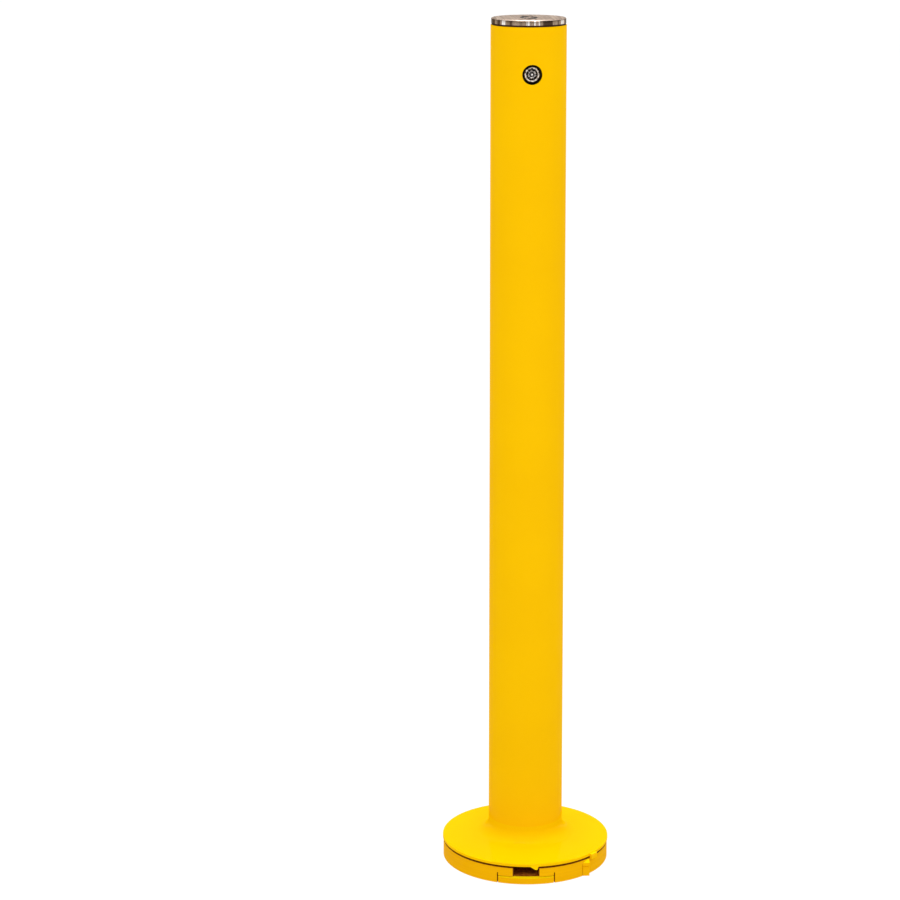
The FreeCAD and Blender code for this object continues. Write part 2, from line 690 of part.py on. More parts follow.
def foot_flange():
    """The cast foot: a low crown that flares up to the tube, with a spigot inside the tube,
    a front tooth that drops into the base's notch and a side hook that meets its stop lug."""
    flare_end = tube_radius + flare_radius
    core_inner = land_outer + core_margin
    core_outer = flange_radius - core_margin * 2
    body = turned("foot_turning", [
        (spigot_bore, flange_underside), (core_inner, flange_underside),
        (core_inner, flange_underside + core_depth), (core_outer, flange_underside + core_depth),
        (core_outer, flange_underside), (flange_radius, flange_underside),
        (flange_radius, rim_top - rim_round, rim_round),
        (flange_radius - rim_round, rim_top, crown_radius),
        (flare_end, crown_top, -flare_radius),
        (tube_radius, crown_top + flare_radius),
        (tube_radius, tube_bottom), (spigot_radius, tube_bottom),
        (spigot_radius, spigot_top), (spigot_bore, spigot_top)])
    # The tooth is the part of a sloping ring that lies inside a prism with uneven flanks.
    root_height = rim_top - rim_round
    slope = turned("tooth_ring", [
        (flange_radius - tooth_depth, tooth_tip), (flange_radius + tooth_proud, tooth_tip),
        (flange_radius - rim_round / 2, root_height), (flange_radius - tooth_depth, root_height)])
    prism = new_body("tooth_prism")
    tip = [flange_radius * sine(tooth_bearing + side * tooth_flat / 2) for side in (-1, 1)]
    left_x = flange_radius * sine(tooth_bearing - tooth_flat / 2 - tooth_left)
    right_x = flange_radius * sine(tooth_bearing + tooth_flat / 2 + tooth_right)
    sketch = outline(prism, "XZ_Plane", [
        (left_x, flange_underside), (tip[0], tooth_tip), (tip[1], tooth_tip),
        (right_x, flange_underside), (tip[1], root_height), (tip[0], root_height)])
    pad(prism, sketch, flange_radius + tooth_proud * 2)
    tooth = common("tooth", slope, prism)
    hook = sector("hook", base_radius + free_gap * 2, flange_radius + hook_proud,
                  flange_underside - hook_drop, rim_top - rim_round, hook_bearing, hook_angle)
    finished("foot_flange", fuse("foot_step", body, tooth, hook))


def foot_bush():
    """The nylon bush that slides over the boss."""
    finished("foot_bush", ring("foot_bush_body", bush_bore, bush_outside, bush_low, spigot_top - 4))


def rod_guides():
    """Two discs that steady the rod, each with three openings; the lower one has a bush."""
    outside = tube_bore - seat_gap
    steel_bore = rod_radius + guide_bush_wall
    window = (steel_bore + outside) / 2
    for name, bore, low in (("rod_guide_lower", steel_bore, guide_low),
                            ("rod_guide_middle", rod_radius + running_gap, guide_middle)):
        body = ring(name + "_body", bore, outside, low, low + guide_thickness)
        hole = circle_sketch(body, "XY_Plane", window, 0, guide_thickness, low)
        cutting = pocket(body, hole, guide_thickness + 1, reverse=True)
        doc.recompute()
        repeat_about_z(body, cutting, 3)
        finished(name, body)
    finished("rod_bush", ring("rod_bush_body", rod_radius + running_gap, steel_bore - seat_gap,
                              guide_low - 2, guide_low + guide_thickness + 2))


# ---------------------------------------------------------------- head

carrier_screw_length = head_thickness + carrier_screw_grip
cap_screw_places = screw_places((spindle_radius + spindle_flange_radius) / 2, 3, 90)
carrier_screw_places = [(side * pillar_x, pillar_y) for side in (-1, 1)]
stop_pin_circle = plate_radius - stop_pin_radius
STOP_PIN_ANGLE = 100
stop_pin_place = screw_places(stop_pin_circle, 1, STOP_PIN_ANGLE)[0]
bush_outer = spindle_radius + head_bush_wall


def head_block():
    """The plug in the top of the tube that carries the spindle and the lock."""
    body = ring("head_block_body", bush_outer + seat_gap, tube_bore - seat_gap,
                head_underside, head_top)
    holes = [countersunk_hole("head_hole", carrier_screw, head_thickness + 2, x, y, head_top)
             for x, y in carrier_screw_places]
    pin_hole = cylinder("head_pin_hole", stop_pin_radius + screw_gap, head_thickness / 2,
                        *stop_pin_place, head_underside - 1)
    finished("head_block", cut("head_step", body, *holes, pin_hole))
    finished("stop_pin", cylinder("stop_pin_body", stop_pin_radius,
                                  head_thickness / 2 - 2 + head_underside - plate_underside,
                                  *stop_pin_place, plate_underside))
    finished("head_bush", ring("head_bush_body", spindle_radius + running_gap, bush_outer,
                               head_underside, head_top))
    finished("thrust_washer", ring("thrust_washer_body", spindle_radius + running_gap * 4,
                                   spindle_flange_radius, head_top,
                                   head_top + washer_thickness))


def disc_spring():
    """The conical spring washer that keeps the cap from rattling."""
    inner = spindle_radius + running_gap * 6
    outer = inner + 6
    strip = spring_height / 2
    finished("disc_spring", turned("disc_spring_body", [
        (inner, spring_low + spring_height - strip), (outer, spring_low),
        (outer, spring_low + strip), (inner, spring_low + spring_height)]))


def cap_seal():
    """The rubber ring in the gap under the cap, with a thin lip towards the cap."""
    outer = tube_bore - seal_margin
    inner = outer - seal_wall
    lip = cap_underside - free_gap
    finished("cap_seal", turned("cap_seal_body", [
        (inner, head_top), (outer, head_top), (outer, tube_top - free_gap),
        (outer - seal_wall / 4, lip), (outer - seal_wall / 2, lip),
        (outer - seal_wall / 2, tube_top - head_drop / 2), (inner, tube_top - head_drop / 2)]))


def top_cap():
    """The stainless cap, a plain disc with a rounded upper edge."""
    cap_top = cap_underside + cap_thickness
    body = turned("top_cap_body", [
        (0, cap_underside), (cap_radius, cap_underside),
        (cap_radius, cap_top - cap_round, cap_round), (cap_radius - cap_round, cap_top),
        (0, cap_top)])
    depth = cap_screw_length / 2 + 1
    holes = [cylinder("cap_tapping", cap_screw + screw_gap, depth, x, y, cap_underside - 1)
             for x, y in cap_screw_places]
    finished("top_cap", cut("cap_step", body, *holes))


def cap_spindle():
    """The spindle: a flange screwed under the cap, a shaft with two flats for the index
    plate, a groove for the retaining ring and a socket for the rod."""
    groove_radius = spindle_radius - groove_depth
    body = turned("spindle_turning", [
        (0, rod_top + 1), (rod_socket_radius, rod_top + 1), (rod_socket_radius, spindle_low),
        (spindle_radius, spindle_low), (spindle_radius, clip_underside),
        (groove_radius, clip_underside), (groove_radius, clip_top), (spindle_radius, clip_top),
        (spindle_radius, spindle_flange_underside),
        (spindle_flange_radius, spindle_flange_underside),
        (spindle_flange_radius, cap_underside), (0, cap_underside)])
    flats = [block("spindle_flat", (side_low, -spindle_radius - 1, plate_underside),
                   (side_high, spindle_radius + 1, plate_top))
             for side_low, side_high in ((-spindle_radius - 1, -flat_half),
                                         (flat_half, spindle_radius + 1))]
    holes = [countersunk_hole("spindle_hole", cap_screw, cap_screw_length, x, y,
                              spindle_flange_underside, False) for x, y in cap_screw_places]
    pin_hole = cylinder("spindle_pin_hole", rod_pin_radius + screw_gap, spindle_radius * 2 + 2,
                        y=-spindle_radius - 1, z=rod_pin_z, rotation=ALONG_Y)
    finished("cap_spindle", cut("spindle_step", body, *flats, *holes, pin_hole))
    finished("cap_screws", group("cap_screw_set", [
        countersunk_screw("cap_screw", cap_screw, cap_screw_length, x, y,
                          spindle_flange_underside, False) for x, y in cap_screw_places]))


flat_half = spindle_radius - 1.2
rod_pin_z = (spindle_low + rod_top) / 2


def index_plate():
    """The disc on the spindle: a bore with two flats, a pocket for the bolt at each end of
    the cap's turn, and a cut in its rim that stops against the pin."""
    disc = turned("index_disc", [
        (0, plate_underside), (plate_radius, plate_underside), (plate_radius, plate_top),
        (0, plate_top)])
    bore = common("index_bore",
                  cylinder("index_bore", spindle_radius + screw_gap, plate_thickness + 2,
                           z=plate_underside - 1),
                  block("index_bore", (-flat_half - screw_gap, -spindle_radius - 1,
                                       plate_underside - 1),
                        (flat_half + screw_gap, spindle_radius + 1, plate_top + 1)))
    gap = free_gap
    half_width = tongue_width / 2 + gap
    half_depth = bolt_thickness / 2 + gap
    first = block("index_pocket",
                  (bolt_x - half_width, bolt_y - half_depth, plate_underside - 1),
                  (bolt_x + half_width, bolt_y + half_depth, plate_top + 1))
    # The second pocket is the first one turned a quarter about Z.
    second = block("index_pocket",
                   (-bolt_y - half_depth, bolt_x - half_width, plate_underside - 1),
                   (-bolt_y + half_depth, bolt_x + half_width, plate_top + 1))
    # A pin of this radius reaches this many degrees to each side of its centre.
    pin_reach = size(math.degrees(1)) * (stop_pin_radius + gap * 2) / stop_pin_circle
    start = size(STOP_PIN_ANGLE) + 90 + turn_range / 2
    rim_cut = sector("index_rim", stop_pin_circle - stop_pin_radius - gap, plate_radius + 1,
                     plate_underside - 1, plate_top + 1, start, turn_range + pin_reach * 2)
    finished("index_plate", cut("index_step", disc, bore, first, second, rim_cut))


def spindle_clip():
    """The retaining ring under the index plate."""
    whole = ring("clip_ring", spindle_radius - groove_depth + running_gap, clip_radius,
                 clip_underside + running_gap, clip_top - running_gap)
    gap = block("clip_gap", (-2, 0, clip_underside - 1), (2, clip_radius + 1, clip_top + 1))
    finished("spindle_clip", cut("clip_step", whole, gap))


# ---------------------------------------------------------------- rod and cam

def drive_rod():
    """The rod from the spindle to the cam, stepped and threaded at its foot."""
    rod_low = cam_underside - nut_height - 2
    body = turned("rod_turning", [
        (0, rod_low), (rod_end_radius - 1, rod_low), (rod_end_radius, rod_low + 1),
        (rod_end_radius, cam_top), (rod_radius, cam_top), (rod_radius, rod_top),
        (0, rod_top)])
    pin_hole = cylinder("rod_pin_hole", rod_pin_radius + screw_gap, rod_radius * 2 + 2,
                        y=-rod_radius - 1, z=rod_pin_z, rotation=ALONG_Y)
    finished("drive_rod", cut("rod_step", body, pin_hole))
    finished("rod_pin", cylinder("rod_pin_body", rod_pin_radius, spindle_radius * 2 - 1,
                                 y=-spindle_radius + 0.5, z=rod_pin_z, rotation=ALONG_Y))


def tee_cam():
    """The T-shaped foot of the rod: a bar that just passes the keeper plate's slot."""
    body = new_body("cam_bar")
    sketch = rounded_slot(body, slot_length - cam_gap * 2, slot_width - cam_gap * 2, cam_underside)
    bar = pad(body, sketch, cam_thickness)
    doc.recompute()
    round_over = body.newObject("PartDesign::Fillet", "cam_rounding")
    upright = [f"Edge{index + 1}" for index, edge in enumerate(bar.Shape.Edges)
               if abs(edge.BoundBox.ZLength - cam_thickness.value) < 0.01]
    round_over.Base = (bar, upright)
    bind(round_over, "Radius", (slot_width - cam_gap * 2) * 0.45)
    bore = cylinder("cam_bore", rod_end_radius + screw_gap, cam_thickness + 2,
                    z=cam_underside - 1)
    finished("tee_cam", cut("cam_step", body, bore))
    finished("cam_nut", cut("cam_nut_step", hexagon("cam_nut_blank", nut_across, nut_height,
                                                    z=cam_underside - nut_height),
                            cylinder("cam_nut_bore", rod_end_radius + screw_gap, nut_height + 2,
                                     z=cam_underside - nut_height - 1)))


# ---------------------------------------------------------------- lock

def on_lock_axis(item):
    """Raises a piece that was drawn about the Y axis to the lock's height."""
    return place(item, z=lock_z)


def lock_barrel():
    """The fixed shell of the lock: a chamfered head, a threaded body and a rear lip."""
    head_rear = face_y + barrel_head_length
    bevel = size(0.9)
    body = turned("barrel_turning", [
        (keyway_radius, face_y + 0.4), (keyway_radius + 0.5, face_y),
        (barrel_head_radius - bevel, face_y), (barrel_head_radius, face_y + bevel),
        (barrel_head_radius, head_rear), (barrel_radius, head_rear),
        (barrel_radius, barrel_rear_y), (tail_radius + running_gap, barrel_rear_y),
        (tail_radius + running_gap, barrel_rear_y - barrel_lip),
        (keyway_radius, barrel_rear_y - barrel_lip)], plane="XY_Plane")
    finished("lock_barrel", on_lock_axis(body))


def lock_nut():
    """The jam nut in front of the carrier."""
    front = face_y + barrel_head_length
    whole = hexagon("lock_nut_blank", jam_nut_across, jam_nut_length, y=front, rotation=ALONG_Y)
    hole = cylinder("lock_nut_bore", barrel_radius + screw_gap, jam_nut_length + 2,
                    y=front - 1, rotation=ALONG_Y)
    finished("lock_nut", on_lock_axis(cut("lock_nut_step", whole, hole)))


def lock_core():
    """The turning core: a centre post with a ringed dimple, a body behind the keyway and a
    tail with a tapped hole for the crank's screw."""
    post_radius = keyway_radius - keyway_width
    core_front = face_y + 0.5
    tail_hole = crank_screw + screw_gap
    tail_end = crank_rear_y - crank_thickness / 2
    body = turned("core_turning", [
        (0, core_front + 0.5), (1.2, core_front + 0.5), (1.5, core_front + 1.6),
        (2.7, core_front + 1.6), (3, core_front), (post_radius - 0.3, core_front),
        (post_radius, core_front + 0.3), (post_radius, face_y + keyway_depth),
        (keyway_radius - running_gap, face_y + keyway_depth),
        (keyway_radius - running_gap, barrel_rear_y - barrel_lip - running_gap),
        (tail_radius, barrel_rear_y - barrel_lip - running_gap), (tail_radius, tail_end),
        (tail_hole, tail_end), (tail_hole, tail_end - crank_screw_length),
        (0, tail_end - crank_screw_length)], plane="XY_Plane")
    circle = (post_radius + keyway_radius) / 2
    holes = [cylinder("core_pin_hole", tumbler_radius + screw_gap, keyway_depth, x,
                      face_y + keyway_depth - 1, z, ALONG_Y)
             for x, z in screw_places(circle, TUMBLERS, 90)]
    finished("lock_core", on_lock_axis(cut("core_step", body, *holes)))
    finished("tumbler_pins", group("tumbler_pin_set", [
        cylinder("tumbler_pin", tumbler_radius, keyway_depth + 2, x, face_y + keyway_depth - 4,
                 lock_z + z, ALONG_Y)
        for x, z in screw_places(circle, TUMBLERS, 90)]))


def crank_disc():
    """The disc on the core's tail, with the pin that works the bolt."""
    rim = crank_throw + crank_pin_radius + crank_rim
    disc = cylinder("crank_disc_blank", rim, crank_thickness, y=crank_front_y, rotation=ALONG_Y)
    pin = cylinder("crank_pin", crank_pin_radius, crank_thickness + bolt_thickness, pin_x,
                   crank_front_y + free_gap, pin_z, ALONG_Y)
    tail = cylinder("crank_tail_hole", tail_radius + screw_gap, crank_thickness / 2 + 1,
                    y=crank_front_y - 1, rotation=ALONG_Y)
    hole = cylinder("crank_screw_hole", crank_screw + screw_gap, crank_thickness + 2,
                    y=crank_front_y - 1, rotation=ALONG_Y)
    finished("crank_disc", on_lock_axis(cut("crank_step", fuse("crank_step", disc, pin),
                                            tail, hole)))
    tail_end = crank_rear_y - crank_thickness / 2
    shank = cylinder("crank_screw_shank", crank_screw, crank_screw_length + crank_thickness / 2,
                     y=tail_end - crank_screw_length + 0.5, rotation=ALONG_Y)
    head = cylinder("crank_screw_head", crank_screw * 1.8, 1.6, y=crank_rear_y,
                    rotation=ALONG_Y)
    socket = hexagon("crank_screw_socket", crank_screw, 2, y=crank_rear_y + 0.8,
                     rotation=ALONG_Y)
    finished("crank_screw", on_lock_axis(cut("crank_screw_step",
                                             fuse("crank_screw_step", shank, head), socket)))


def lock_bolt():
    """The flat bolt with a level slot for the crank pin, a relief for the crank's screw and
    a tongue on top."""
    half = bolt_width / 2
    plate = block("bolt_plate", (bolt_x - half, bolt_front_y, bolt_low_z),
                  (bolt_x + half, bolt_rear_y, bolt_high_z))
    tongue = block("bolt_tongue", (bolt_x - tongue_width / 2, bolt_front_y, bolt_high_z - 1),
                   (bolt_x + tongue_width / 2, bolt_rear_y, tongue_top))
    reach = crank_pin_radius + bolt_slack
    slot = block("bolt_slot", (pin_x - reach, bolt_front_y - 1, lock_z + pin_z - reach),
                 (crank_throw + reach, bolt_rear_y + 1, lock_z + pin_z + reach))
    relief = crank_screw * 1.8 + free_gap
    screw_room = block("bolt_relief", (bolt_x - half - 1, bolt_front_y - 1,
                                       lock_z + pin_z * 2 - relief),
                       (relief, bolt_rear_y + 1, lock_z + relief))
    finished("lock_bolt", cut("bolt_step", fuse("bolt_step", plate, tongue), slot, screw_room))


def lock_carrier():
    """The block behind the lock hole: it holds the barrel, houses the crank and guides the
    bolt, and hangs on two pillars from the head block."""
    low = lock_z - carrier_below
    shell = cylinder("carrier_shell", tube_bore - wall_clearance, carrier_top - low + 40, z=low)
    body = block("carrier_body", (-carrier_half_width, carrier_front_y, low),
                 (carrier_half_width, cover_front_y, carrier_top))
    half = pillar_size / 2
    pillars = [block("carrier_pillar", (x - half, pillar_y - half, carrier_top - pillar_size),
                     (x + half, pillar_y + half, head_underside))
               for x, _ in carrier_screw_places]
    whole = common("carrier_step", fuse("carrier_step", body, *pillars), shell)
    bore = cylinder("carrier_bore", barrel_radius + screw_gap, tube_radius, y=-tube_radius,
                    z=lock_z, rotation=ALONG_Y)
    chamber_radius = crank_throw + crank_pin_radius + crank_rim + free_gap
    chamber = cylinder("carrier_chamber", chamber_radius, 20, y=barrel_rear_y, z=lock_z,
                       rotation=ALONG_Y)
    side = bolt_width / 2 + free_gap
    channel = block("carrier_channel", (bolt_x - side, bolt_front_y - free_gap,
                                        bolt_low_z - free_gap),
                    (bolt_x + side, cover_front_y + 1, carrier_top + 1))
    screw_holes = [cylinder("carrier_tapping", carrier_screw + screw_gap, 14, x, y,
                            head_underside - 13) for x, y in carrier_screw_places]
    cover_holes = [cylinder("carrier_cover_tapping", cover_screw + screw_gap,
                            cover_screw_length, x, cover_front_y - cover_screw_length + 1, z,
                            ALONG_Y) for x, z in cover_screw_places]
    finished("lock_carrier", cut("carrier_step", whole, bore, chamber, channel, *screw_holes,
                                 *cover_holes))
    finished("carrier_screws", group("carrier_screw_set", [
        countersunk_screw("carrier_screw", carrier_screw, carrier_screw_length, x, y, head_top)
        for x, y in carrier_screw_places]))


cover_screw_places = [(x * (carrier_half_width - 3.5), z) for x in (-1, 1)
                      for z in (lock_z - carrier_below + 3.5, carrier_top - 3.5)]


def carrier_cover():
    """The plate that closes the back of the carrier."""
    plate = block("cover_plate", (-carrier_half_width, cover_front_y, lock_z - carrier_below),
                  (carrier_half_width, cover_rear_y, carrier_top))
    holes = [cylinder("cover_hole", cover_screw + screw_gap, cover_thickness + 2, x,
                      cover_front_y - 1, z, ALONG_Y) for x, z in cover_screw_places]
    finished("carrier_cover", cut("cover_step", plate, *holes))
    screws = []
    for x, z in cover_screw_places:
        shank = cylinder("cover_screw_shank", cover_screw, cover_screw_length, x,
                         cover_rear_y - cover_screw_length, z, ALONG_Y)
        head = cylinder("cover_screw_head", cover_screw * 1.8, 1.6, x, cover_rear_y, z, ALONG_Y)
        socket = hexagon("cover_screw_socket", cover_screw, 2, x, cover_rear_y + 0.8, z, ALONG_Y)
        screws.append(cut("cover_screw", fuse("cover_screw", shank, head), socket))
    finished("cover_screws", group("cover_screw_set", screws))


# ---------------------------------------------------------------- build, check, write

for make in (base_casting, sill_block, keeper_plate, seat_ring, post_tube, foot_flange,
             foot_bush, rod_guides, head_block, disc_spring, cap_seal, top_cap, cap_spindle,
             index_plate, spindle_clip, drive_rod, tee_cam, lock_barrel, lock_nut, lock_core,
             crank_disc, lock_bolt, lock_carrier, carrier_cover):
    make()
doc.recompute()


def check_document():
    """Stops the build if any step failed or any cut missed its piece."""
    for item in doc.Objects:
        if "Invalid" in item.State or "Error" in item.State:
            raise RuntimeError(f"{item.Name} failed: {item.State}")
        if item.TypeId == "Part::Cut":
            taken = item.Base.Shape.Volume - item.Shape.Volume
            if taken < 1e-4:
                raise RuntimeError(f"{item.Name} takes nothing away from {item.Base.Name}")
        if item.TypeId in ("PartDesign::Pocket", "PartDesign::PolarPattern"):
            taken = item.BaseFeature.Shape.Volume - item.Shape.Volume
            if taken < 1e-4:
                raise RuntimeError(f"{item.Name} takes nothing away")
    for item in kept:
        shape = item.Shape
        if shape.isNull() or not shape.isValid() or not shape.Solids:
            raise RuntimeError(f"{item.Label} has no valid solid")


check_document()
os.makedirs("parts", exist_ok=True)
for item in kept:
    item.Shape.exportStep(os.path.join("parts", item.Label + ".step"))
    print(f"{item.Label}: {len(item.Shape.Solids)} solids, {item.Shape.Volume / 1000:.2f} cm3")
print("travel of the bolt, mm:", round(bolt_travel.value, 4))
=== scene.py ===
# %% [markdown]
# # A lift-out bollard
#
# A yellow steel tube stands on a flared foot, and the foot on a low cast base. A stainless cap
# closes the top and a key lock sits in the tube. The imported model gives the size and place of
# every piece. Here the pieces that are seen get rounded edges, smooth faces and real finishes.

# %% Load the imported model
import json
import math

import bpy
import bmesh
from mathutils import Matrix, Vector


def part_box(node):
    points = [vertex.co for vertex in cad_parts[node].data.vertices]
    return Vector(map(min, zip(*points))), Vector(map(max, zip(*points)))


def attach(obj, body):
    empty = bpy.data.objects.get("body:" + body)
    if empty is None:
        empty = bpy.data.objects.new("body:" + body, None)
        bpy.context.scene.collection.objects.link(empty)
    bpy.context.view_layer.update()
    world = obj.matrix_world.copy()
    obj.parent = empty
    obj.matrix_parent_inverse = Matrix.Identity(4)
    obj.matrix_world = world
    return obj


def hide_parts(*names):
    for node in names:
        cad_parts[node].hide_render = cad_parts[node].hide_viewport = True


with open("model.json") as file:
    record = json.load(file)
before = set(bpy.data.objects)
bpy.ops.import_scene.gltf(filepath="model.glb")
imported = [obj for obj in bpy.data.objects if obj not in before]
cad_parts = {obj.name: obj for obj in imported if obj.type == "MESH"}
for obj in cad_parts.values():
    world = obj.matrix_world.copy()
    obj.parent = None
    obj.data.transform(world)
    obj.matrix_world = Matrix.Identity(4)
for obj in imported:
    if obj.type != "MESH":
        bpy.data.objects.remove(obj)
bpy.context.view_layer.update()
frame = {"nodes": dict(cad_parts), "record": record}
scene = bpy.context.scene
MM = 0.001

# %% [markdown]
# Loading leaves every node selected, and an operator acts on all that is selected. So the
# first helper lets go of everything. The next two open a piece for editing and close it again.

# %% Helpers for selecting and editing


def let_go():
    """Selects nothing."""
    for thing in list(bpy.context.selected_objects):
        thing.select_set(False)
    bpy.context.view_layer.objects.active = None


def take(piece):
    """Selects one piece and makes it the active one."""
    let_go()
    piece.select_set(True)
    bpy.context.view_layer.objects.active = piece
    return piece


def edit(on=True):
    bpy.ops.object.mode_set(mode="EDIT" if on else "OBJECT")


def settle(piece):
    """Puts the piece's place into its mesh, so that its object sits at the origin."""
    take(piece)
    bpy.ops.object.transform_apply(location=True, rotation=True, scale=True)
    return piece


let_go()
print("selected:", len(bpy.context.selected_objects))

# %% [markdown]
# ## Camera
#
# The camera stands about 3 m away and a little above the cap, and looks down by 9 degrees. Its
# long lens keeps the tube's sides nearly parallel. The shift only moves the view's frame.

# %% Camera
CAMERA_AWAY = 3.1403
CAMERA_HEIGHT = 1.264
CAMERA_BEARING = math.radians(-6.0)
CAMERA_ASIDE = math.radians(1.672)
CAMERA_DOWN = math.radians(8.86)

bpy.ops.object.camera_add(
    location=(CAMERA_AWAY * math.sin(CAMERA_BEARING), -CAMERA_AWAY * math.cos(CAMERA_BEARING),
              CAMERA_HEIGHT),
    rotation=(math.pi / 2 - CAMERA_DOWN, 0, CAMERA_BEARING + CAMERA_ASIDE))
camera = bpy.context.object
camera.name = "camera"
camera.data.sensor_width = 36
camera.data.lens = 107.9
camera.data.shift_y = -0.249
camera.data.clip_end = 200
scene.camera = camera
print("camera at", [round(c, 3) for c in camera.location])

# %% [markdown]
# ## Floor and light
#
# The studio is plain. The floor is dark grey with a strong white glow, so that it stays white far
# behind the post. The sky is bright overhead and dimmer near the horizon, which keeps pale reflections
# off the gloss yellow. "Standard" colour keeps the yellow strong.

# %% Colour and sky
scene.view_settings.view_transform = "Standard"
scene.world = bpy.data.worlds.new("studio")
scene.world.use_nodes = True
sky_nodes = scene.world.node_tree.nodes
sky_links = scene.world.node_tree.links
direction = sky_nodes.new("ShaderNodeTexCoord")
split = sky_nodes.new("ShaderNodeSeparateXYZ")
height_of = sky_nodes.new("ShaderNodeMapRange")
sky_colour = sky_nodes.new("ShaderNodeValToRGB")
height_of.inputs["From Min"].default_value = 0.05
height_of.inputs["From Max"].default_value = 0.75
sky_colour.color_ramp.elements[0].color = (0.42, 0.39, 0.36, 1)
sky_colour.color_ramp.elements[1].color = (1.0, 1.0, 1.0, 1)
sky_links.new(direction.outputs["Generated"], split.inputs["Vector"])
sky_links.new(split.outputs["Z"], height_of.inputs["Value"])
sky_links.new(height_of.outputs["Result"], sky_colour.inputs["Fac"])
sky_links.new(sky_colour.outputs["Color"], sky_nodes["Background"].inputs["Color"])
sky_nodes["Background"].inputs["Strength"].default_value = 0.9
print("sky ready")

# %% Floor
FLOOR_REACH = 60
bpy.ops.mesh.primitive_plane_add(size=FLOOR_REACH * 2, location=(0, 0, 0))
floor = bpy.context.object
floor.name = "floor"
floor_finish = bpy.data.materials.new("pale_floor")
floor_finish.use_nodes = True
floor_shader = floor_finish.node_tree.nodes["Principled BSDF"]
floor_shader.inputs["Base Color"].default_value = (0.12, 0.12, 0.12, 1)
floor_shader.inputs["Roughness"].default_value = 0.9
floor_shader.inputs["Specular IOR Level"].default_value = 0.0
floor_shader.inputs["Emission Color"].default_value = (1.0, 1.0, 1.0, 1)
floor_shader.inputs["Emission Strength"].default_value = 0.94
floor.data.materials.append(floor_finish)
print("floor ready")

# %% [markdown]
# Soft lamps stand in front on both sides and overhead. They are large, so their shadows are soft.

# %% Lamps


def softbox(name, place, aim, size, power):
    """A square lamp at a place, turned to face a point."""
    bpy.ops.object.light_add(type="AREA", location=place)
    lamp = bpy.context.object
    lamp.name = name
    lamp.data.size = size
    lamp.data.energy = power
    lamp.rotation_euler = (Vector(aim) - Vector(place)).to_track_quat("-Z", "Y").to_euler()


softbox("key_light", (0.9, -3.0, 2.6), (0, 0, 0.5), 1.2, 20)
softbox("fill_light", (-1.6, -2.4, 2.2), (0, 0, 0.5), 1.0, 8)
softbox("top_light", (0.0, 0.2, 3.6), (0, 0, 0), 1.6, 70)

# %% [markdown]
# ## Finishes
#
# A finish is a material made of nodes. What several finishes share is a node group. The first
# is the faint waviness of a thick coat, which painters call orange peel. It is two sizes of
# noise, and it puts out a height for the bump and a mask that shades the colour a little.

# %% Node helpers


def new_finish(name):
    """An empty material with its shader; returns the material, its nodes and its links."""
    finish = bpy.data.materials.new(name)
    finish.use_nodes = True
    return finish, finish.node_tree.nodes, finish.node_tree.links


def new_group(name, inputs, outputs):
    """A node group with float inputs and outputs."""
    group = bpy.data.node_groups.new(name, "ShaderNodeTree")
    for label, value in inputs.items():
        socket = group.interface.new_socket(label, in_out="INPUT",
                                            socket_type="NodeSocketFloat")
        socket.default_value = value
    for label in outputs:
        group.interface.new_socket(label, in_out="OUTPUT", socket_type="NodeSocketFloat")
    entry = group.nodes.new("NodeGroupInput")
    leave = group.nodes.new("NodeGroupOutput")
    return group, entry, leave


def noise(tree, place, scale, detail=3, stretch=None):
    """A noise on an object's own coordinates, stretched where asked."""
    texture = tree.nodes.new("ShaderNodeTexNoise")
    texture.inputs["Detail"].default_value = detail
    if isinstance(scale, (int, float)):
        texture.inputs["Scale"].default_value = scale
    else:
        tree.links.new(scale, texture.inputs["Scale"])
    if stretch:
        mapping = tree.nodes.new("ShaderNodeMapping")
        mapping.inputs["Scale"].default_value = stretch
        tree.links.new(place, mapping.inputs["Vector"])
        place = mapping.outputs["Vector"]
    tree.links.new(place, texture.inputs["Vector"])
    return texture.outputs["Fac"]


def sums(tree, kind, a, b):
    """A maths node of two values or sockets."""
    node = tree.nodes.new("ShaderNodeMath")
    node.operation = kind
    for socket, value in zip(node.inputs, (a, b)):
        if isinstance(value, (int, float)):
            socket.default_value = value
        else:
            tree.links.new(value, socket)
    return node.outputs["Value"]


def spread(tree, value, low, high, new_low, new_high):
    """Maps one range of a value onto another, held at its ends."""
    node = tree.nodes.new("ShaderNodeMapRange")
    for label, number in (("From Min", low), ("From Max", high), ("To Min", new_low),
                          ("To Max", new_high)):
        node.inputs[label].default_value = number
    tree.links.new(value, node.inputs["Value"])
    return node.outputs["Result"]


def two_tone(tree, mask, dark, light):
    """A colour between two, by a mask."""
    ramp = tree.nodes.new("ShaderNodeValToRGB")
    ramp.color_ramp.elements[0].color = (*dark, 1)
    ramp.color_ramp.elements[1].color = (*light, 1)
    tree.links.new(mask, ramp.inputs["Fac"])
    return ramp.outputs["Color"]


def object_place(tree):
    return tree.nodes.new("ShaderNodeTexCoord").outputs["Object"]


print("node helpers ready")

# %% Orange peel group
peel, peel_in, peel_out = new_group("orange_peel", {"Fine": 420.0, "Broad": 90.0},
                                    ["Height", "Tone"])
peel_place = object_place(peel)
fine_waves = noise(peel, peel_place, peel_in.outputs["Fine"], 2)
broad_waves = noise(peel, peel_place, peel_in.outputs["Broad"], 2)
both_waves = sums(peel, "ADD", sums(peel, "MULTIPLY", fine_waves, 0.35), broad_waves)
peel.links.new(both_waves, peel_out.inputs["Height"])
clouds = noise(peel, peel_place, 9.0, 4)
peel.links.new(spread(peel, clouds, 0.3, 0.7, 0.0, 1.0), peel_out.inputs["Tone"])
print("group:", peel.name, [s.name for s in peel.interface.items_tree])

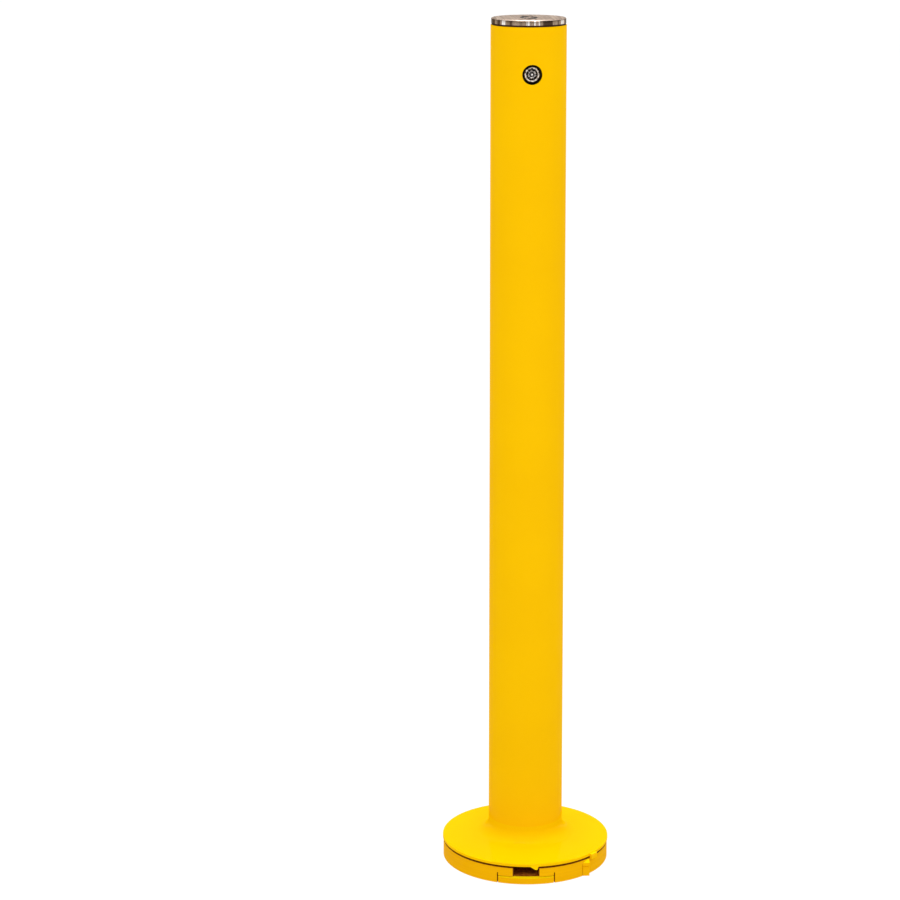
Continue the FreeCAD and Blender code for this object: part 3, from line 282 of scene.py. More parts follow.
# %% [markdown]
# Powder coat is a thick gloss paint, baked on. Its colour hardly varies. The gloss is a thin
# clear coat over a plain yellow, which keeps the yellow deep even where it is seen edge on. The
# base is rougher: it has fine lines from the lathe, and grime in small specks. The foot is painted
# a lighter yellow than the tube, as painted light on its upward faces, and the rim's sides keep the
# tube's darker yellow as painted shade. A few edges and slopes that face upwards are painted a
# paler yellow still, as painted highlights.

# %% Yellow powder coat


def powder_coat(name, dark, light, grime, gloss=0.05, rough=0.08, bump=0.12, lines=0.0):
    """Gloss yellow with orange peel, specks of grime and, where asked, turning lines."""
    finish, nodes, links = new_finish(name)
    tree = finish.node_tree
    shader = nodes["Principled BSDF"]
    shader.inputs["Specular IOR Level"].default_value = 0.0
    shader.inputs["Coat Weight"].default_value = gloss
    shader.inputs["Coat Roughness"].default_value = rough
    waves = nodes.new("ShaderNodeGroup")
    waves.node_tree = peel
    waves.inputs["Fine"].default_value = 420.0
    waves.inputs["Broad"].default_value = 90.0
    place = object_place(tree)
    turning = noise(tree, place, 420.0, 3, (0.02, 0.02, 1))
    tone = sums(tree, "ADD", sums(tree, "MULTIPLY", waves.outputs["Tone"], 1 - lines),
                sums(tree, "MULTIPLY", spread(tree, turning, 0.35, 0.65, 0, 1), lines))
    yellow = two_tone(tree, tone, dark, light)
    specks = spread(tree, noise(tree, place, 700.0, 2), 0.72, 0.8, 0.0, 1.0)
    patches = spread(tree, noise(tree, place, 24.0, 3), 0.5, 0.75, 0.0, 1.0)
    dust = sums(tree, "MULTIPLY", sums(tree, "MULTIPLY", specks, patches), grime)
    mixed = nodes.new("ShaderNodeMix")
    mixed.data_type = "RGBA"
    links.new(dust, mixed.inputs["Factor"])
    links.new(yellow, mixed.inputs["A"])
    mixed.inputs["B"].default_value = (0.30, 0.13, 0.01, 1)
    links.new(mixed.outputs["Result"], shader.inputs["Base Color"])
    links.new(spread(tree, waves.outputs["Tone"], 0, 1, 0.35, 0.45), shader.inputs["Roughness"])
    height = sums(tree, "ADD", waves.outputs["Height"], sums(tree, "MULTIPLY", turning, lines))
    dents = nodes.new("ShaderNodeBump")
    dents.inputs["Strength"].default_value = bump
    dents.inputs["Distance"].default_value = 0.0003
    links.new(height, dents.inputs["Height"])
    links.new(dents.outputs["Normal"], shader.inputs["Normal"])
    return finish


tube_coat = powder_coat("tube_powder_coat", (0.93, 0.505, 0.0), (0.96, 0.535, 0.0), 0.15)
# The foot's yellow is lighter than the tube's: painted light on its upward faces.
foot_coat_painted_lighter = powder_coat("foot_powder_coat_painted_lighter", (0.93, 0.555, 0.0), (0.96, 0.585, 0.0), 0.3,
                        gloss=0.06, rough=0.05, bump=0.15)
base_coat = powder_coat("base_powder_coat", (0.84, 0.400, 0.0), (0.93, 0.470, 0.0), 0.9,
                        rough=0.2, bump=0.35, lines=0.5)
# A paler yellow, used as painted highlights on edges and slopes that face upwards.
painted_highlight_coat = powder_coat("painted_highlight_powder_coat", (0.97, 0.66, 0.0), (1.0, 0.72, 0.0), 0.1)
print("coats:", tube_coat.name, foot_coat_painted_lighter.name, base_coat.name, painted_highlight_coat.name)

# %% [markdown]
# The cap is stainless steel. Its top was ground flat on a belt, which leaves fine straight
# scratches: a noise squeezed in one direction. Its edge was turned and polished on a lathe, and
# its colour holds painted reflections of its surroundings: upright blocks of white, tan and brown
# from a noise that changes round the edge only, painted darker towards its left and right sides.

# %% Metals


def metal(name, colours, rough, stretch, scale, bump=0.1, contrast=(0.35, 0.65), edge=None,
          painted_dark_sides=None):
    """A metal whose colour, roughness and bump follow one stretched noise.  colours are
    (position, colour) stops, edge is the tint of its reflections seen edge on, and the mask
    fades towards dark between the distances painted_dark_sides from the middle plane, as a painted
    dark reflection."""
    finish, nodes, links = new_finish(name)
    tree = finish.node_tree
    shader = nodes["Principled BSDF"]
    shader.inputs["Metallic"].default_value = 1.0
    if edge:
        shader.inputs["Specular Tint"].default_value = (*edge, 1)
    place = object_place(tree)
    grain = noise(tree, place, scale, 4, stretch)
    mask = spread(tree, grain, *contrast, 0.0, 1.0)
    if painted_dark_sides:
        parts = nodes.new("ShaderNodeSeparateXYZ")
        links.new(place, parts.inputs["Vector"])
        aside = sums(tree, "ABSOLUTE", parts.outputs["X"], 0)
        mask = sums(tree, "MULTIPLY", mask, spread(tree, aside, *painted_dark_sides, 1.0, 0.2))
    ramp = nodes.new("ShaderNodeValToRGB")
    stops = ramp.color_ramp.elements
    while len(stops) < len(colours):
        stops.new(0.5)
    for stop, (position, colour) in zip(stops, colours):
        stop.position = position
        stop.color = (*colour, 1)
    links.new(mask, ramp.inputs["Fac"])
    links.new(ramp.outputs["Color"], shader.inputs["Base Color"])
    links.new(spread(tree, mask, 0, 1, rough[0], rough[1]), shader.inputs["Roughness"])
    dents = nodes.new("ShaderNodeBump")
    dents.inputs["Strength"].default_value = bump
    dents.inputs["Distance"].default_value = 0.0002
    links.new(grain, dents.inputs["Height"])
    links.new(dents.outputs["Normal"], shader.inputs["Normal"])
    return finish


def from_to(dark, light):
    return [(0, dark), (1, light)]


brushed_top = metal("stainless_ground_top", from_to((0.44, 0.34, 0.275), (0.74, 0.60, 0.50)),
                    (0.34, 0.5), (1, 0.02, 1), 900, edge=(0.45, 0.42, 0.40))
# The edge's stops, from near black through tan to white, are painted reflections; painted_dark_sides
# paints it darker towards its left and right.
polished_edge_painted_reflections = metal(
    "stainless_polished_edge",
    [(0, (0.03, 0.018, 0.012)), (0.3, (0.09, 0.055, 0.035)), (0.44, (0.40, 0.30, 0.22)),
     (0.52, (0.27, 0.19, 0.13)), (0.60, (0.98, 0.95, 0.92)), (0.68, (0.85, 0.75, 0.66)),
     (0.76, (0.45, 0.34, 0.27)), (1, (0.20, 0.13, 0.09))],
    (0.08, 0.2), (1, 1, 0.02), 75, bump=0.05, contrast=(0.25, 0.75), edge=(0.6, 0.55, 0.5),
    painted_dark_sides=(0.0395, 0.0425))
lock_ring = metal("lock_bright_ring", from_to((0.12, 0.09, 0.06), (0.92, 0.84, 0.76)),
                  (0.2, 0.4), (1, 1, 1), 330, contrast=(0.38, 0.62))
lock_metal = metal("lock_worn_nickel", from_to((0.012, 0.010, 0.012), (0.78, 0.72, 0.68)),
                   (0.2, 0.4), (1, 1, 1), 640, contrast=(0.43, 0.62))
lock_point = metal("lock_bright_point", from_to((0.95, 0.95, 0.95), (1.0, 1.0, 1.0)),
                   (0.3, 0.4), (1, 1, 1), 300)
# Black oxide for the black steel parts; the same finish is also painted shade on the cap's chamfer and
# deep in the lock.
black_steel = metal("black_oxide_and_painted_shade", from_to((0.012, 0.010, 0.010), (0.03, 0.026, 0.024)),
                    (0.4, 0.6), (1, 1, 1), 300, edge=(0.1, 0.1, 0.1))
zinc_metal = metal("zinc_plate", from_to((0.52, 0.53, 0.55), (0.70, 0.71, 0.72)), (0.3, 0.5),
                   (1, 1, 1), 120)
turned_steel = metal("turned_steel", from_to((0.50, 0.50, 0.50), (0.66, 0.66, 0.66)),
                     (0.22, 0.4), (0.05, 0.05, 1), 1500)
bronze_metal = metal("bearing_bronze", from_to((0.55, 0.34, 0.13), (0.72, 0.48, 0.22)),
                     (0.3, 0.5), (0.05, 0.05, 1), 900)
print("metals:", 9)

# %% [markdown]
# Four finishes are not metal: black enamel in the engraving, black nylon, dark rubber, and a
# dark brown painted shade for the castings' inner and under faces, which darkens the gaps and the
# notch. Each has its own fine grain, because even a plain moulding is never quite even.

# %% Enamel, nylon, rubber and primer


def moulded(name, dark, light, rough, scale, bump, shine=0.5):
    """A plastic, rubber or enamel, or a painted shade, with a fine even grain."""
    finish, nodes, links = new_finish(name)
    tree = finish.node_tree
    shader = nodes["Principled BSDF"]
    shader.inputs["Specular IOR Level"].default_value = shine
    grain = noise(tree, object_place(tree), scale, 3)
    mask = spread(tree, grain, 0.35, 0.65, 0.0, 1.0)
    links.new(two_tone(tree, mask, dark, light), shader.inputs["Base Color"])
    links.new(spread(tree, mask, 0, 1, rough - 0.06, rough + 0.06), shader.inputs["Roughness"])
    dents = nodes.new("ShaderNodeBump")
    dents.inputs["Strength"].default_value = bump
    dents.inputs["Distance"].default_value = 0.0002
    links.new(grain, dents.inputs["Height"])
    links.new(dents.outputs["Normal"], shader.inputs["Normal"])
    return finish


engraving_enamel = moulded("engraving_enamel", (0.012, 0.010, 0.009), (0.03, 0.025, 0.02),
                           0.5, 800, 0.1)
black_nylon = moulded("black_nylon", (0.018, 0.018, 0.018), (0.035, 0.035, 0.035), 0.5, 500, 0.1)
dark_rubber = moulded("dark_rubber", (0.035, 0.014, 0.006), (0.06, 0.026, 0.012), 0.7, 600, 0.15,
                      shine=0.1)
# A dark brown painted shade for the castings' inner and under faces, in the gaps and the notch.
brown_painted_shade = moulded("brown_painted_shade", (0.30, 0.065, 0.008), (0.55, 0.190, 0.020), 0.8, 260,
                       0.3, shine=0.05)
print("moulded finishes: 4")

# %% [markdown]
# ## Shaping by hand
#
# Most pieces are round, as if turned on a lathe. One is modelled the same way: a single point
# is extruded along half of the outline, and the outline is spun about the upright axis. Sharp
# edges get a small bevel at the end, because no real edge is perfectly sharp.

# %% Lathe helper
AROUND = 180
OFFSET = math.radians(0.8)      # keeps the facets' edges away from the cuts


def start_point(name, place):
    """A mesh of one point, made by merging a small plane."""
    bpy.ops.mesh.primitive_plane_add(size=MM, location=(0, 0, 0))
    piece = bpy.context.object
    piece.name = name
    edit()
    bpy.ops.mesh.select_all(action="SELECT")
    bpy.ops.mesh.merge(type="CENTER")
    bpy.ops.transform.translate(value=place)
    return piece


def lathe(name, outline, steps=AROUND, about="Z", centre=(0, 0, 0)):
    """Spins an outline of (radius, distance along the axis) pairs into a closed piece."""
    let_go()
    points = [Vector((r, 0, h)) if about == "Z" else Vector((r, h, 0)) for r, h in outline]
    piece = start_point(name, points[0])
    closing = points + [points[0]]
    for here, there in zip(closing, closing[1:]):
        bpy.ops.mesh.extrude_region_move(
            TRANSFORM_OT_translate={"value": tuple(there - here)})
    bpy.ops.mesh.select_all(action="SELECT")
    axis = (0, 0, 1) if about == "Z" else (0, 1, 0)
    bpy.ops.mesh.spin(steps=steps, angle=math.tau, center=(0, 0, 0), axis=axis)
    bpy.ops.mesh.select_all(action="SELECT")
    bpy.ops.mesh.remove_doubles(threshold=2e-6)
    bpy.ops.mesh.delete_loose(use_verts=True, use_edges=True, use_faces=False)
    bpy.ops.mesh.normals_make_consistent(inside=False)
    edit(False)
    piece.location = centre
    if about == "Z":
        piece.rotation_euler = (0, 0, OFFSET)
    return settle(piece)


def curve(centre_r, centre_h, radius, first, last, steps):
    """Points along an arc of an outline, angles in degrees from outward."""
    return [(centre_r + radius * math.cos(math.radians(first + (last - first) * i / steps)),
             centre_h + radius * math.sin(math.radians(first + (last - first) * i / steps)))
            for i in range(steps + 1)]


print("lathe ready,", AROUND, "steps")

# %% [markdown]
# Blocks that follow a ring, such as the space of a notch, start as a flat rectangle that is
# turned to its bearing and spun through its angle. A bearing is measured from the front. Other
# blocks are a flat outline that is filled and pushed straight.

# %% Ring block, straight block and cutting helpers


def ring_block(name, inner, outer, low, high, bearing, width, steps=12):
    """A block that spans width degrees of a ring about a bearing."""
    let_go()
    bpy.ops.mesh.primitive_plane_add(size=1, location=(0, 0, 0),
                                     rotation=(math.pi / 2, 0, 0))
    piece = bpy.context.object
    piece.name = name
    piece.scale = (outer - inner, high - low, 1)
    piece.location = ((inner + outer) / 2, 0, (low + high) / 2)
    settle(piece)
    piece.rotation_euler = (0, 0, math.radians(bearing - 90 + width / 2))
    settle(piece)
    edit()
    bpy.ops.mesh.select_all(action="SELECT")
    bpy.ops.mesh.spin(steps=steps, angle=math.radians(width), center=(0, 0, 0),
                      axis=(0, 0, 1))
    bpy.ops.mesh.select_all(action="SELECT")
    bpy.ops.mesh.remove_doubles(threshold=2e-6)
    bpy.ops.mesh.normals_make_consistent(inside=False)
    edit(False)
    return piece


def prism(name, corners, push):
    """A block made by pushing a flat outline along a straight line."""
    let_go()
    corners = [Vector(corner) for corner in corners]
    piece = start_point(name, corners[0])
    for here, there in zip(corners, corners[1:] + corners[:1]):
        bpy.ops.mesh.extrude_region_move(
            TRANSFORM_OT_translate={"value": tuple(there - here)})
    bpy.ops.mesh.select_all(action="SELECT")
    bpy.ops.mesh.remove_doubles(threshold=2e-6)
    bpy.ops.mesh.select_all(action="SELECT")
    bpy.ops.mesh.edge_face_add()
    bpy.ops.mesh.extrude_region_move(TRANSFORM_OT_translate={"value": push})
    bpy.ops.mesh.select_all(action="SELECT")
    bpy.ops.mesh.normals_make_consistent(inside=False)
    edit(False)
    return settle(piece)


def post_of(name, radius, low, high, x, y, sides=32):
    """An upright round tool."""
    let_go()
    bpy.ops.mesh.primitive_cylinder_add(vertices=sides, radius=radius, depth=high - low,
                                        location=(x, y, (low + high) / 2))
    bpy.context.object.name = name
    return settle(bpy.context.object)


def combine(piece, tool, kind="DIFFERENCE", keep_finish=False):
    """Cuts a tool out of a piece, or joins it on, and puts the tool away."""
    take(piece)
    modifier = piece.modifiers.new("combine", "BOOLEAN")
    modifier.operation = kind
    modifier.solver = "EXACT"
    modifier.object = tool
    if keep_finish:
        modifier.material_mode = "TRANSFER"
    bpy.ops.object.modifier_apply(modifier=modifier.name)
    bpy.data.objects.remove(tool)
    return piece


def soften(piece, width, segments=3, angle=32, leave=None, faint=None):
    """Rounds the sharp edges and shades smooth.  Edges for which leave(edge) is true stay
    sharp, and those for which faint(edge) is true get less than half the width."""
    take(piece)
    edit()
    bpy.ops.mesh.select_all(action="SELECT")
    bpy.ops.mesh.remove_doubles(threshold=0.03 * MM)
    edit(False)
    mesh = bmesh.new()
    mesh.from_mesh(piece.data)
    weight = mesh.edges.layers.float.new("bevel_weight_edge")
    for edge in mesh.edges:
        if edge.calc_face_angle(0) > math.radians(angle) and not (leave and leave(edge)):
            edge[weight] = 0.4 if faint and faint(edge) else 1.0
    mesh.to_mesh(piece.data)
    mesh.free()
    modifier = piece.modifiers.new("soften", "BEVEL")
    modifier.width = width
    modifier.segments = segments
    modifier.limit_method = "WEIGHT"
    bpy.ops.object.modifier_apply(modifier=modifier.name)
    bpy.ops.object.shade_smooth_by_angle(angle=math.radians(50))
    modifier = piece.modifiers.new("weights", "WEIGHTED_NORMAL")
    modifier.keep_sharp = True
    bpy.ops.object.modifier_apply(modifier=modifier.name)
    return piece


def paint_faces(piece, finish, chosen):
    """Gives the faces for which chosen(face) is true another finish."""
    piece.data.materials.append(finish)
    number = len(piece.data.materials) - 1
    for face in piece.data.polygons:
        if chosen(face):
            face.material_index = number
    return sum(1 for face in piece.data.polygons if face.material_index == number)


def reach(point):
    """A point's distance from the upright axis."""
    return math.hypot(point.x, point.y)


def dress(piece, finish, body, slot, *nodes):
    """Gives a piece its finish and its body, and hides the nodes that it stands for; slot is not used.
    """
    if not piece.data.materials:
        piece.data.materials.append(finish)
    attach(piece, body)
    if nodes:
        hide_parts(*nodes)
    open_edges = count_open_edges(piece)
    lowest = min(vertex.co.z for vertex in piece.data.vertices) / MM
    print(f"{piece.name}: {len(piece.data.polygons)} faces, {open_edges} open edges, "
          f"lowest {lowest:.2f} mm")
    return piece


def count_open_edges(piece):
    """How many edges don't join exactly two faces; a closed piece has none."""
    mesh = bmesh.new()
    mesh.from_mesh(piece.data)
    found = sum(1 for edge in mesh.edges if len(edge.link_faces) != 2)
    mesh.free()
    return found


print("cutting and finishing helpers ready")

# %% [markdown]
# ## Post
#
# The tube is a plain lathe piece. Its outline has extra points just above and below the lock
# hole, which keep the long faces away from the hole, so that the shading stays clean there. Its
# edges are rounded, apart from the outer one at the foot, where the two are welded flush.

# %% Tube
tube_low, tube_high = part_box("post_tube")
TUBE_R = tube_high.x
TUBE_WALL = 3.2 * MM
LOCK_Z = (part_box("lock_barrel")[0].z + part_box("lock_barrel")[1].z) / 2
HOLE_R = 11.7 * MM
near_lock = [LOCK_Z + side * HOLE_R * 1.5 for side in (-1, 1)]
tube = lathe("tube", [
    (TUBE_R - TUBE_WALL, tube_low.z), (TUBE_R, tube_low.z), (TUBE_R, near_lock[0]),
    (TUBE_R, near_lock[1]), (TUBE_R, tube_high.z), (TUBE_R - TUBE_WALL, tube_high.z),
    (TUBE_R - TUBE_WALL, near_lock[1]), (TUBE_R - TUBE_WALL, near_lock[0])])
let_go()
bpy.ops.mesh.primitive_cylinder_add(vertices=64, radius=HOLE_R, depth=0.03,
                                    location=(0, -TUBE_R, LOCK_Z),
                                    rotation=(math.pi / 2, 0, 0))
combine(tube, settle(bpy.context.object))


def at_joint(edge):
    """True for the edges where the tube's outside meets the foot."""
    return all(abs(v.co.z - tube_low.z) < 0.1 * MM and reach(v.co) > TUBE_R - 0.1 * MM
               for v in edge.verts)


soften(tube, 0.7 * MM, leave=at_joint)
tube.data.materials.append(tube_coat)
# The lower lip of the lock hole is painted the paler yellow, as a painted highlight.
print("lower lip of the lock hole:", paint_faces(tube, painted_highlight_coat, lambda face: face.normal.z > 0.3
      and face.center.y < -0.03 and abs(face.center.z - LOCK_Z) < HOLE_R + 1 * MM))
dress(tube, tube_coat, "post", "yellow_paint", "post_tube")

# %% [markdown]
# The foot is cast. Its outline runs from the spigot inside the tube, along the underside with
# its cored recess, round the thin rim, over the gentle crown and up the flare to the tube. The
# flare is what gives the foot its look, so its arc has many points.

# %% Foot
foot_low, foot_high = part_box("foot_flange")
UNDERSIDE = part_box("seat_ring")[1].z
SPIGOT_R = TUBE_R - TUBE_WALL - 0.05 * MM
SPIGOT_WALL = 3.6 * MM
SPIGOT_BORE = SPIGOT_R - SPIGOT_WALL
FOOT_R = 100.3 * MM
RIM_TOP = 26 * MM
RIM_ROUND = 1.4 * MM
CROWN_TOP = 29.6 * MM
CROWN_R = 260 * MM
FLARE_R = 15.5 * MM
CORE_UP = UNDERSIDE + 1.8 * MM
LAND_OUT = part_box("seat_ring")[1].x + 2 * MM


def crown_points(start, finish, radius, steps):
    """Points between two ends of a wide arc that bulges upwards."""
    a, b = Vector(start), Vector(finish)
    half = (b - a) / 2
    up = Vector((half.y, -half.x)).normalized()
    centre = a + half - up * math.sqrt(radius ** 2 - half.length ** 2)
    first, last = (math.atan2(p.y - centre.y, p.x - centre.x) for p in (a, b))
    return [(centre.x + radius * math.cos(first + (last - first) * i / steps),
             centre.y + radius * math.sin(first + (last - first) * i / steps))
            for i in range(1, steps)]


rim = curve(FOOT_R - RIM_ROUND, RIM_TOP - RIM_ROUND, RIM_ROUND, 0, 82, 6)
flare = curve(TUBE_R + FLARE_R, CROWN_TOP + FLARE_R, FLARE_R, 270, 180, 18)
foot_outline = (
    [(SPIGOT_BORE, UNDERSIDE), (LAND_OUT + 4 * MM, UNDERSIDE), (LAND_OUT + 4 * MM, CORE_UP),
     (FOOT_R - 8 * MM, CORE_UP), (FOOT_R - 8 * MM, UNDERSIDE), (FOOT_R, UNDERSIDE)]
    + rim + crown_points(rim[-1], flare[0], CROWN_R, 10) + flare
    + [(TUBE_R, tube_low.z), (SPIGOT_R, tube_low.z), (SPIGOT_R, foot_high.z),
       (SPIGOT_BORE, foot_high.z)])
foot = lathe("foot", foot_outline)
print("foot outline:", len(foot_outline), "points")

# %% [markdown]
# Two small shapes are cast on the foot's rim. The tooth at the front drops into the base's
# notch. It is the part of a sloping ring that lies inside a prism, and its left flank is the
# longer one. The hook on the right hangs over the rim beside the base's stop lug.

# %% Tooth and hook of the foot
TOOTH_BEARING = 1.65
TOOTH_FLAT = 1.5
TOOTH_LEFT = 3.1
TOOTH_RIGHT = 0.8
TOOTH_TIP = 19.1 * MM
TOOTH_PROUD = 2 * MM
TOOTH_DEPTH = 4.5 * MM
HOOK_BEARING = 47.6
HOOK_ANGLE = 6
HOOK_PROUD = 3.2 * MM
ROOT_Z = RIM_TOP - RIM_ROUND


def from_front(point):
    """A point's bearing in degrees, without its sign."""
    return abs(math.degrees(math.atan2(point.x, -point.y)))


def across(bearing):
    """How far to the right the rim's point at a bearing is."""
    return FOOT_R * math.sin(math.radians(bearing))


tip = [across(TOOTH_BEARING + side * TOOTH_FLAT / 2) for side in (-1, 1)]
left_x = across(TOOTH_BEARING - TOOTH_FLAT / 2 - TOOTH_LEFT)
right_x = across(TOOTH_BEARING + TOOTH_FLAT / 2 + TOOTH_RIGHT)
tooth = lathe("tooth", [
    (FOOT_R - TOOTH_DEPTH, TOOTH_TIP), (FOOT_R + TOOTH_PROUD, TOOTH_TIP),
    (FOOT_R - RIM_ROUND / 2, ROOT_Z), (FOOT_R - TOOTH_DEPTH, ROOT_Z)])
front = -(FOOT_R + 2 * TOOTH_PROUD)
combine(tooth, prism("tooth_prism", [
    (left_x, front, UNDERSIDE), (tip[0], front, TOOTH_TIP - 1e-5),
    (tip[1], front, TOOTH_TIP - 1e-5), (right_x, front, UNDERSIDE), (tip[1], front, ROOT_Z),
    (tip[0], front, ROOT_Z)], (0, 20 * MM, 0)), "INTERSECT")
combine(foot, tooth, "UNION")
combine(foot, ring_block("hook", 100.1 * MM, FOOT_R + HOOK_PROUD, foot_low.z, ROOT_Z,
                         HOOK_BEARING, HOOK_ANGLE, 8), "UNION")


def at_gap(edge):
    """True for the edges on both sides of the gap between foot and base."""
    return all(reach(v.co) > 97 * MM and 18.8 * MM < v.co.z < 22.5 * MM for v in edge.verts)


soften(foot, 0.45 * MM, leave=at_joint, faint=at_gap)
foot.data.materials.append(foot_coat_painted_lighter)
# The rim's side faces take the tube's darker yellow, as painted shade beside the foot's lighter top.
print("rim faces:", paint_faces(foot, tube_coat, lambda face: reach(face.center)
      > FOOT_R - 0.3 * MM and face.center.z < ROOT_Z and abs(face.normal.z) < 0.4
      and from_front(face.center) > 4))
# The underside and its cored recess get a dark brown painted shade, which darkens the gap above the
# base.
print("shade-painted faces:", paint_faces(foot, brown_painted_shade, lambda face: face.center.z
      < CORE_UP + 0.1 * MM and (face.normal.z < -0.8 or reach(face.center) < FOOT_R - 5 * MM)))
# Upward faces at the rim, such as the hook's top, get the paler yellow as painted highlights.
foot.data.materials.append(painted_highlight_coat)
print("pale faces:", paint_faces(foot, painted_highlight_coat, lambda face: face.normal.z > 0.45
      and reach(face.center) > FOOT_R - 0.5 * MM and from_front(face.center) > 30))
dress(foot, foot_coat_painted_lighter, "post", "yellow_paint", "foot_flange")

# %% [markdown]
# ## Base
#
# The base is one casting, turned as a dish: rim, floor, seat land and the tall boss with the
# cam's cavity. The stop lug, a square block with a sloping top, is joined on. The notch, the
# room for the sill block, the two slits and the anchor holes are cut out.

# %% Base casting
base_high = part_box("base_casting")[1]
BASE_R = base_high.x
BASE_TOP = 19.4 * MM
BASE_WALL = 6.5 * MM
BASE_TURN = -5.2
NOTCH_ANGLE = 18.4
NOTCH_FLOOR = 9.3 * MM
SILL_ANGLE = 39.8
SILL_DEEP = 12.5 * MM
SLIT_ANGLE = 0.75
LUG_FRONT = 78.2 * MM
LUG_SIDE = 69.4 * MM
LUG_WIDTH = 13 * MM
LUG_TOP = BASE_TOP - 0.2 * MM
LUG_SLOPE = 3.2 * MM
keeper_low, keeper_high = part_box("keeper_plate")
seat_low, seat_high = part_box("seat_ring")
BOSS_R = keeper_high.x + 3 * MM
LAND_IN = LAND_OUT - 18 * MM
CAVITY_R = 22.6 * MM
base = lathe("base", [
    (6 * MM, 0), (BASE_R, 0), (BASE_R, BASE_TOP), (BASE_R - BASE_WALL, BASE_TOP),
    (BASE_R - BASE_WALL, 8 * MM), (LAND_OUT, 8 * MM), (LAND_OUT, seat_low.z),
    (LAND_IN, seat_low.z), (LAND_IN, 8 * MM), (BOSS_R, 8 * MM), (BOSS_R, base_high.z),
    (keeper_high.x + 0.05 * MM, base_high.z), (keeper_high.x + 0.05 * MM, keeper_low.z),
    (CAVITY_R, keeper_low.z), (CAVITY_R, 28 * MM), (6 * MM, 28 * MM)])
lug_x = LUG_SIDE - LUG_WIDTH
combine(base, prism("lug", [
    (lug_x, -LUG_FRONT, 0), (lug_x, BASE_WALL - LUG_FRONT, 0),
    (lug_x, BASE_WALL - LUG_FRONT, LUG_TOP), (lug_x, LUG_SLOPE - LUG_FRONT, LUG_TOP),
    (lug_x, -LUG_FRONT, LUG_TOP - LUG_SLOPE)], (LUG_WIDTH, 0, 0)), "UNION")
combine(base, ring_block("sill_room", BASE_R - SILL_DEEP - 0.05 * MM, BASE_R + 2 * MM,
                         -1 * MM, NOTCH_FLOOR, BASE_TURN, SILL_ANGLE, 24))
combine(base, ring_block("notch", BASE_R - BASE_WALL - 2 * MM, BASE_R + 2 * MM,
                         NOTCH_FLOOR - 2 * MM, BASE_TOP + 2 * MM, BASE_TURN, NOTCH_ANGLE))
for side in (-1, 1):
    combine(base, ring_block("slit", BASE_R - BASE_WALL - 2 * MM, BASE_R + 2 * MM, -1 * MM,
                             12.7 * MM, BASE_TURN + side * SILL_ANGLE / 2, SLIT_ANGLE, 2))
for quarter in range(4):
    angle = math.radians(45 + 90 * quarter)
    combine(base, post_of("anchor_room", 7 * MM, -1 * MM, 12 * MM,
                          77.525 * MM * math.cos(angle), 77.525 * MM * math.sin(angle)))
# Shallow marks: a crease beside the lug and a line across its face.
combine(base, ring_block("crease", BASE_R - 1.1 * MM, BASE_R + 0.4 * MM, -1 * MM, 14.5 * MM,
                         37.8, 0.42, 1))
combine(base, prism("lug_line", [
    (61 * MM, -LUG_FRONT - 1 * MM, 11.4 * MM), (61 * MM, 0.7 * MM - LUG_FRONT, 11.4 * MM),
    (61 * MM, 0.7 * MM - LUG_FRONT, 12.0 * MM), (61 * MM, -LUG_FRONT - 1 * MM, 12.0 * MM)],
    (7.4 * MM, 0, 0)))
print("base before rounding:", count_open_edges(base), "open edges")
soften(base, 0.3 * MM, faint=at_gap)
base.data.materials.append(base_coat)
# Upward edges and slopes high on the base, such as the lug's slope, get the paler yellow as painted
# highlights.
print("pale edges:", paint_faces(base, painted_highlight_coat, lambda face: face.normal.z > 0.45
      and face.center.z > 12 * MM))
# The inner faces, the floor and the boss get a dark brown painted shade, which darkens the gap under
# the foot and the notch.
print("shade-painted faces:", paint_faces(base, brown_painted_shade, lambda face: reach(face.center)
      < BASE_R - 0.5 * MM and face.center.z < BASE_TOP + 0.1 * MM))
dress(base, base_coat, "base", "yellow_paint", "base_casting")

# %% [markdown]
# The sill block closes the rim under the notch. Its outer upper edge has a wide chamfer, which
# is painted the paler yellow as a painted highlight line, and its top gets the same dark brown painted
# shade as the inside.

# %% Sill block
SILL_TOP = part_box("sill_block")[1].z
SILL_CHAMFER = 2 * MM
sill = ring_block("sill", BASE_R - SILL_DEEP, BASE_R, 0, SILL_TOP, BASE_TURN,
                  SILL_ANGLE - SLIT_ANGLE, 32)
take(sill)
edit()
bpy.ops.mesh.select_all(action="DESELECT")
edit(False)
for vertex in sill.data.vertices:
    vertex.select = (vertex.co.z > SILL_TOP - 0.1 * MM
                     and reach(vertex.co) > BASE_R - 0.1 * MM)
edit()
bpy.ops.mesh.bevel(offset=SILL_CHAMFER, segments=1, affect="EDGES")
edit(False)
soften(sill, 0.3 * MM)
sill.data.materials.append(base_coat)
# The chamfer gets the paler yellow as a painted highlight line.
print("pale faces:", paint_faces(sill, painted_highlight_coat, lambda face: face.normal.z > 0.3
      and reach(face.center) > BASE_R - SILL_CHAMFER - 0.1 * MM))
# The sill's top gets the dark brown painted shade, like the inside of the notch.
print("shade-painted faces:", paint_faces(sill, brown_painted_shade, lambda face: reach(face.center)
      < BASE_R - SILL_CHAMFER - 0.1 * MM and face.center.z > 1 * MM))
dress(sill, base_coat, "base", "yellow_paint", "sill_block")

# %% [markdown]
# ## Cap
#
# The cap is a stainless disc with a rounded upper edge, and a small chamfer below that is painted
# black as painted shade. Two curved arrows are engraved in it, which say only that the cap turns.
# They are cut with black tools, and the cut faces keep the tool's finish, as if filled with enamel.

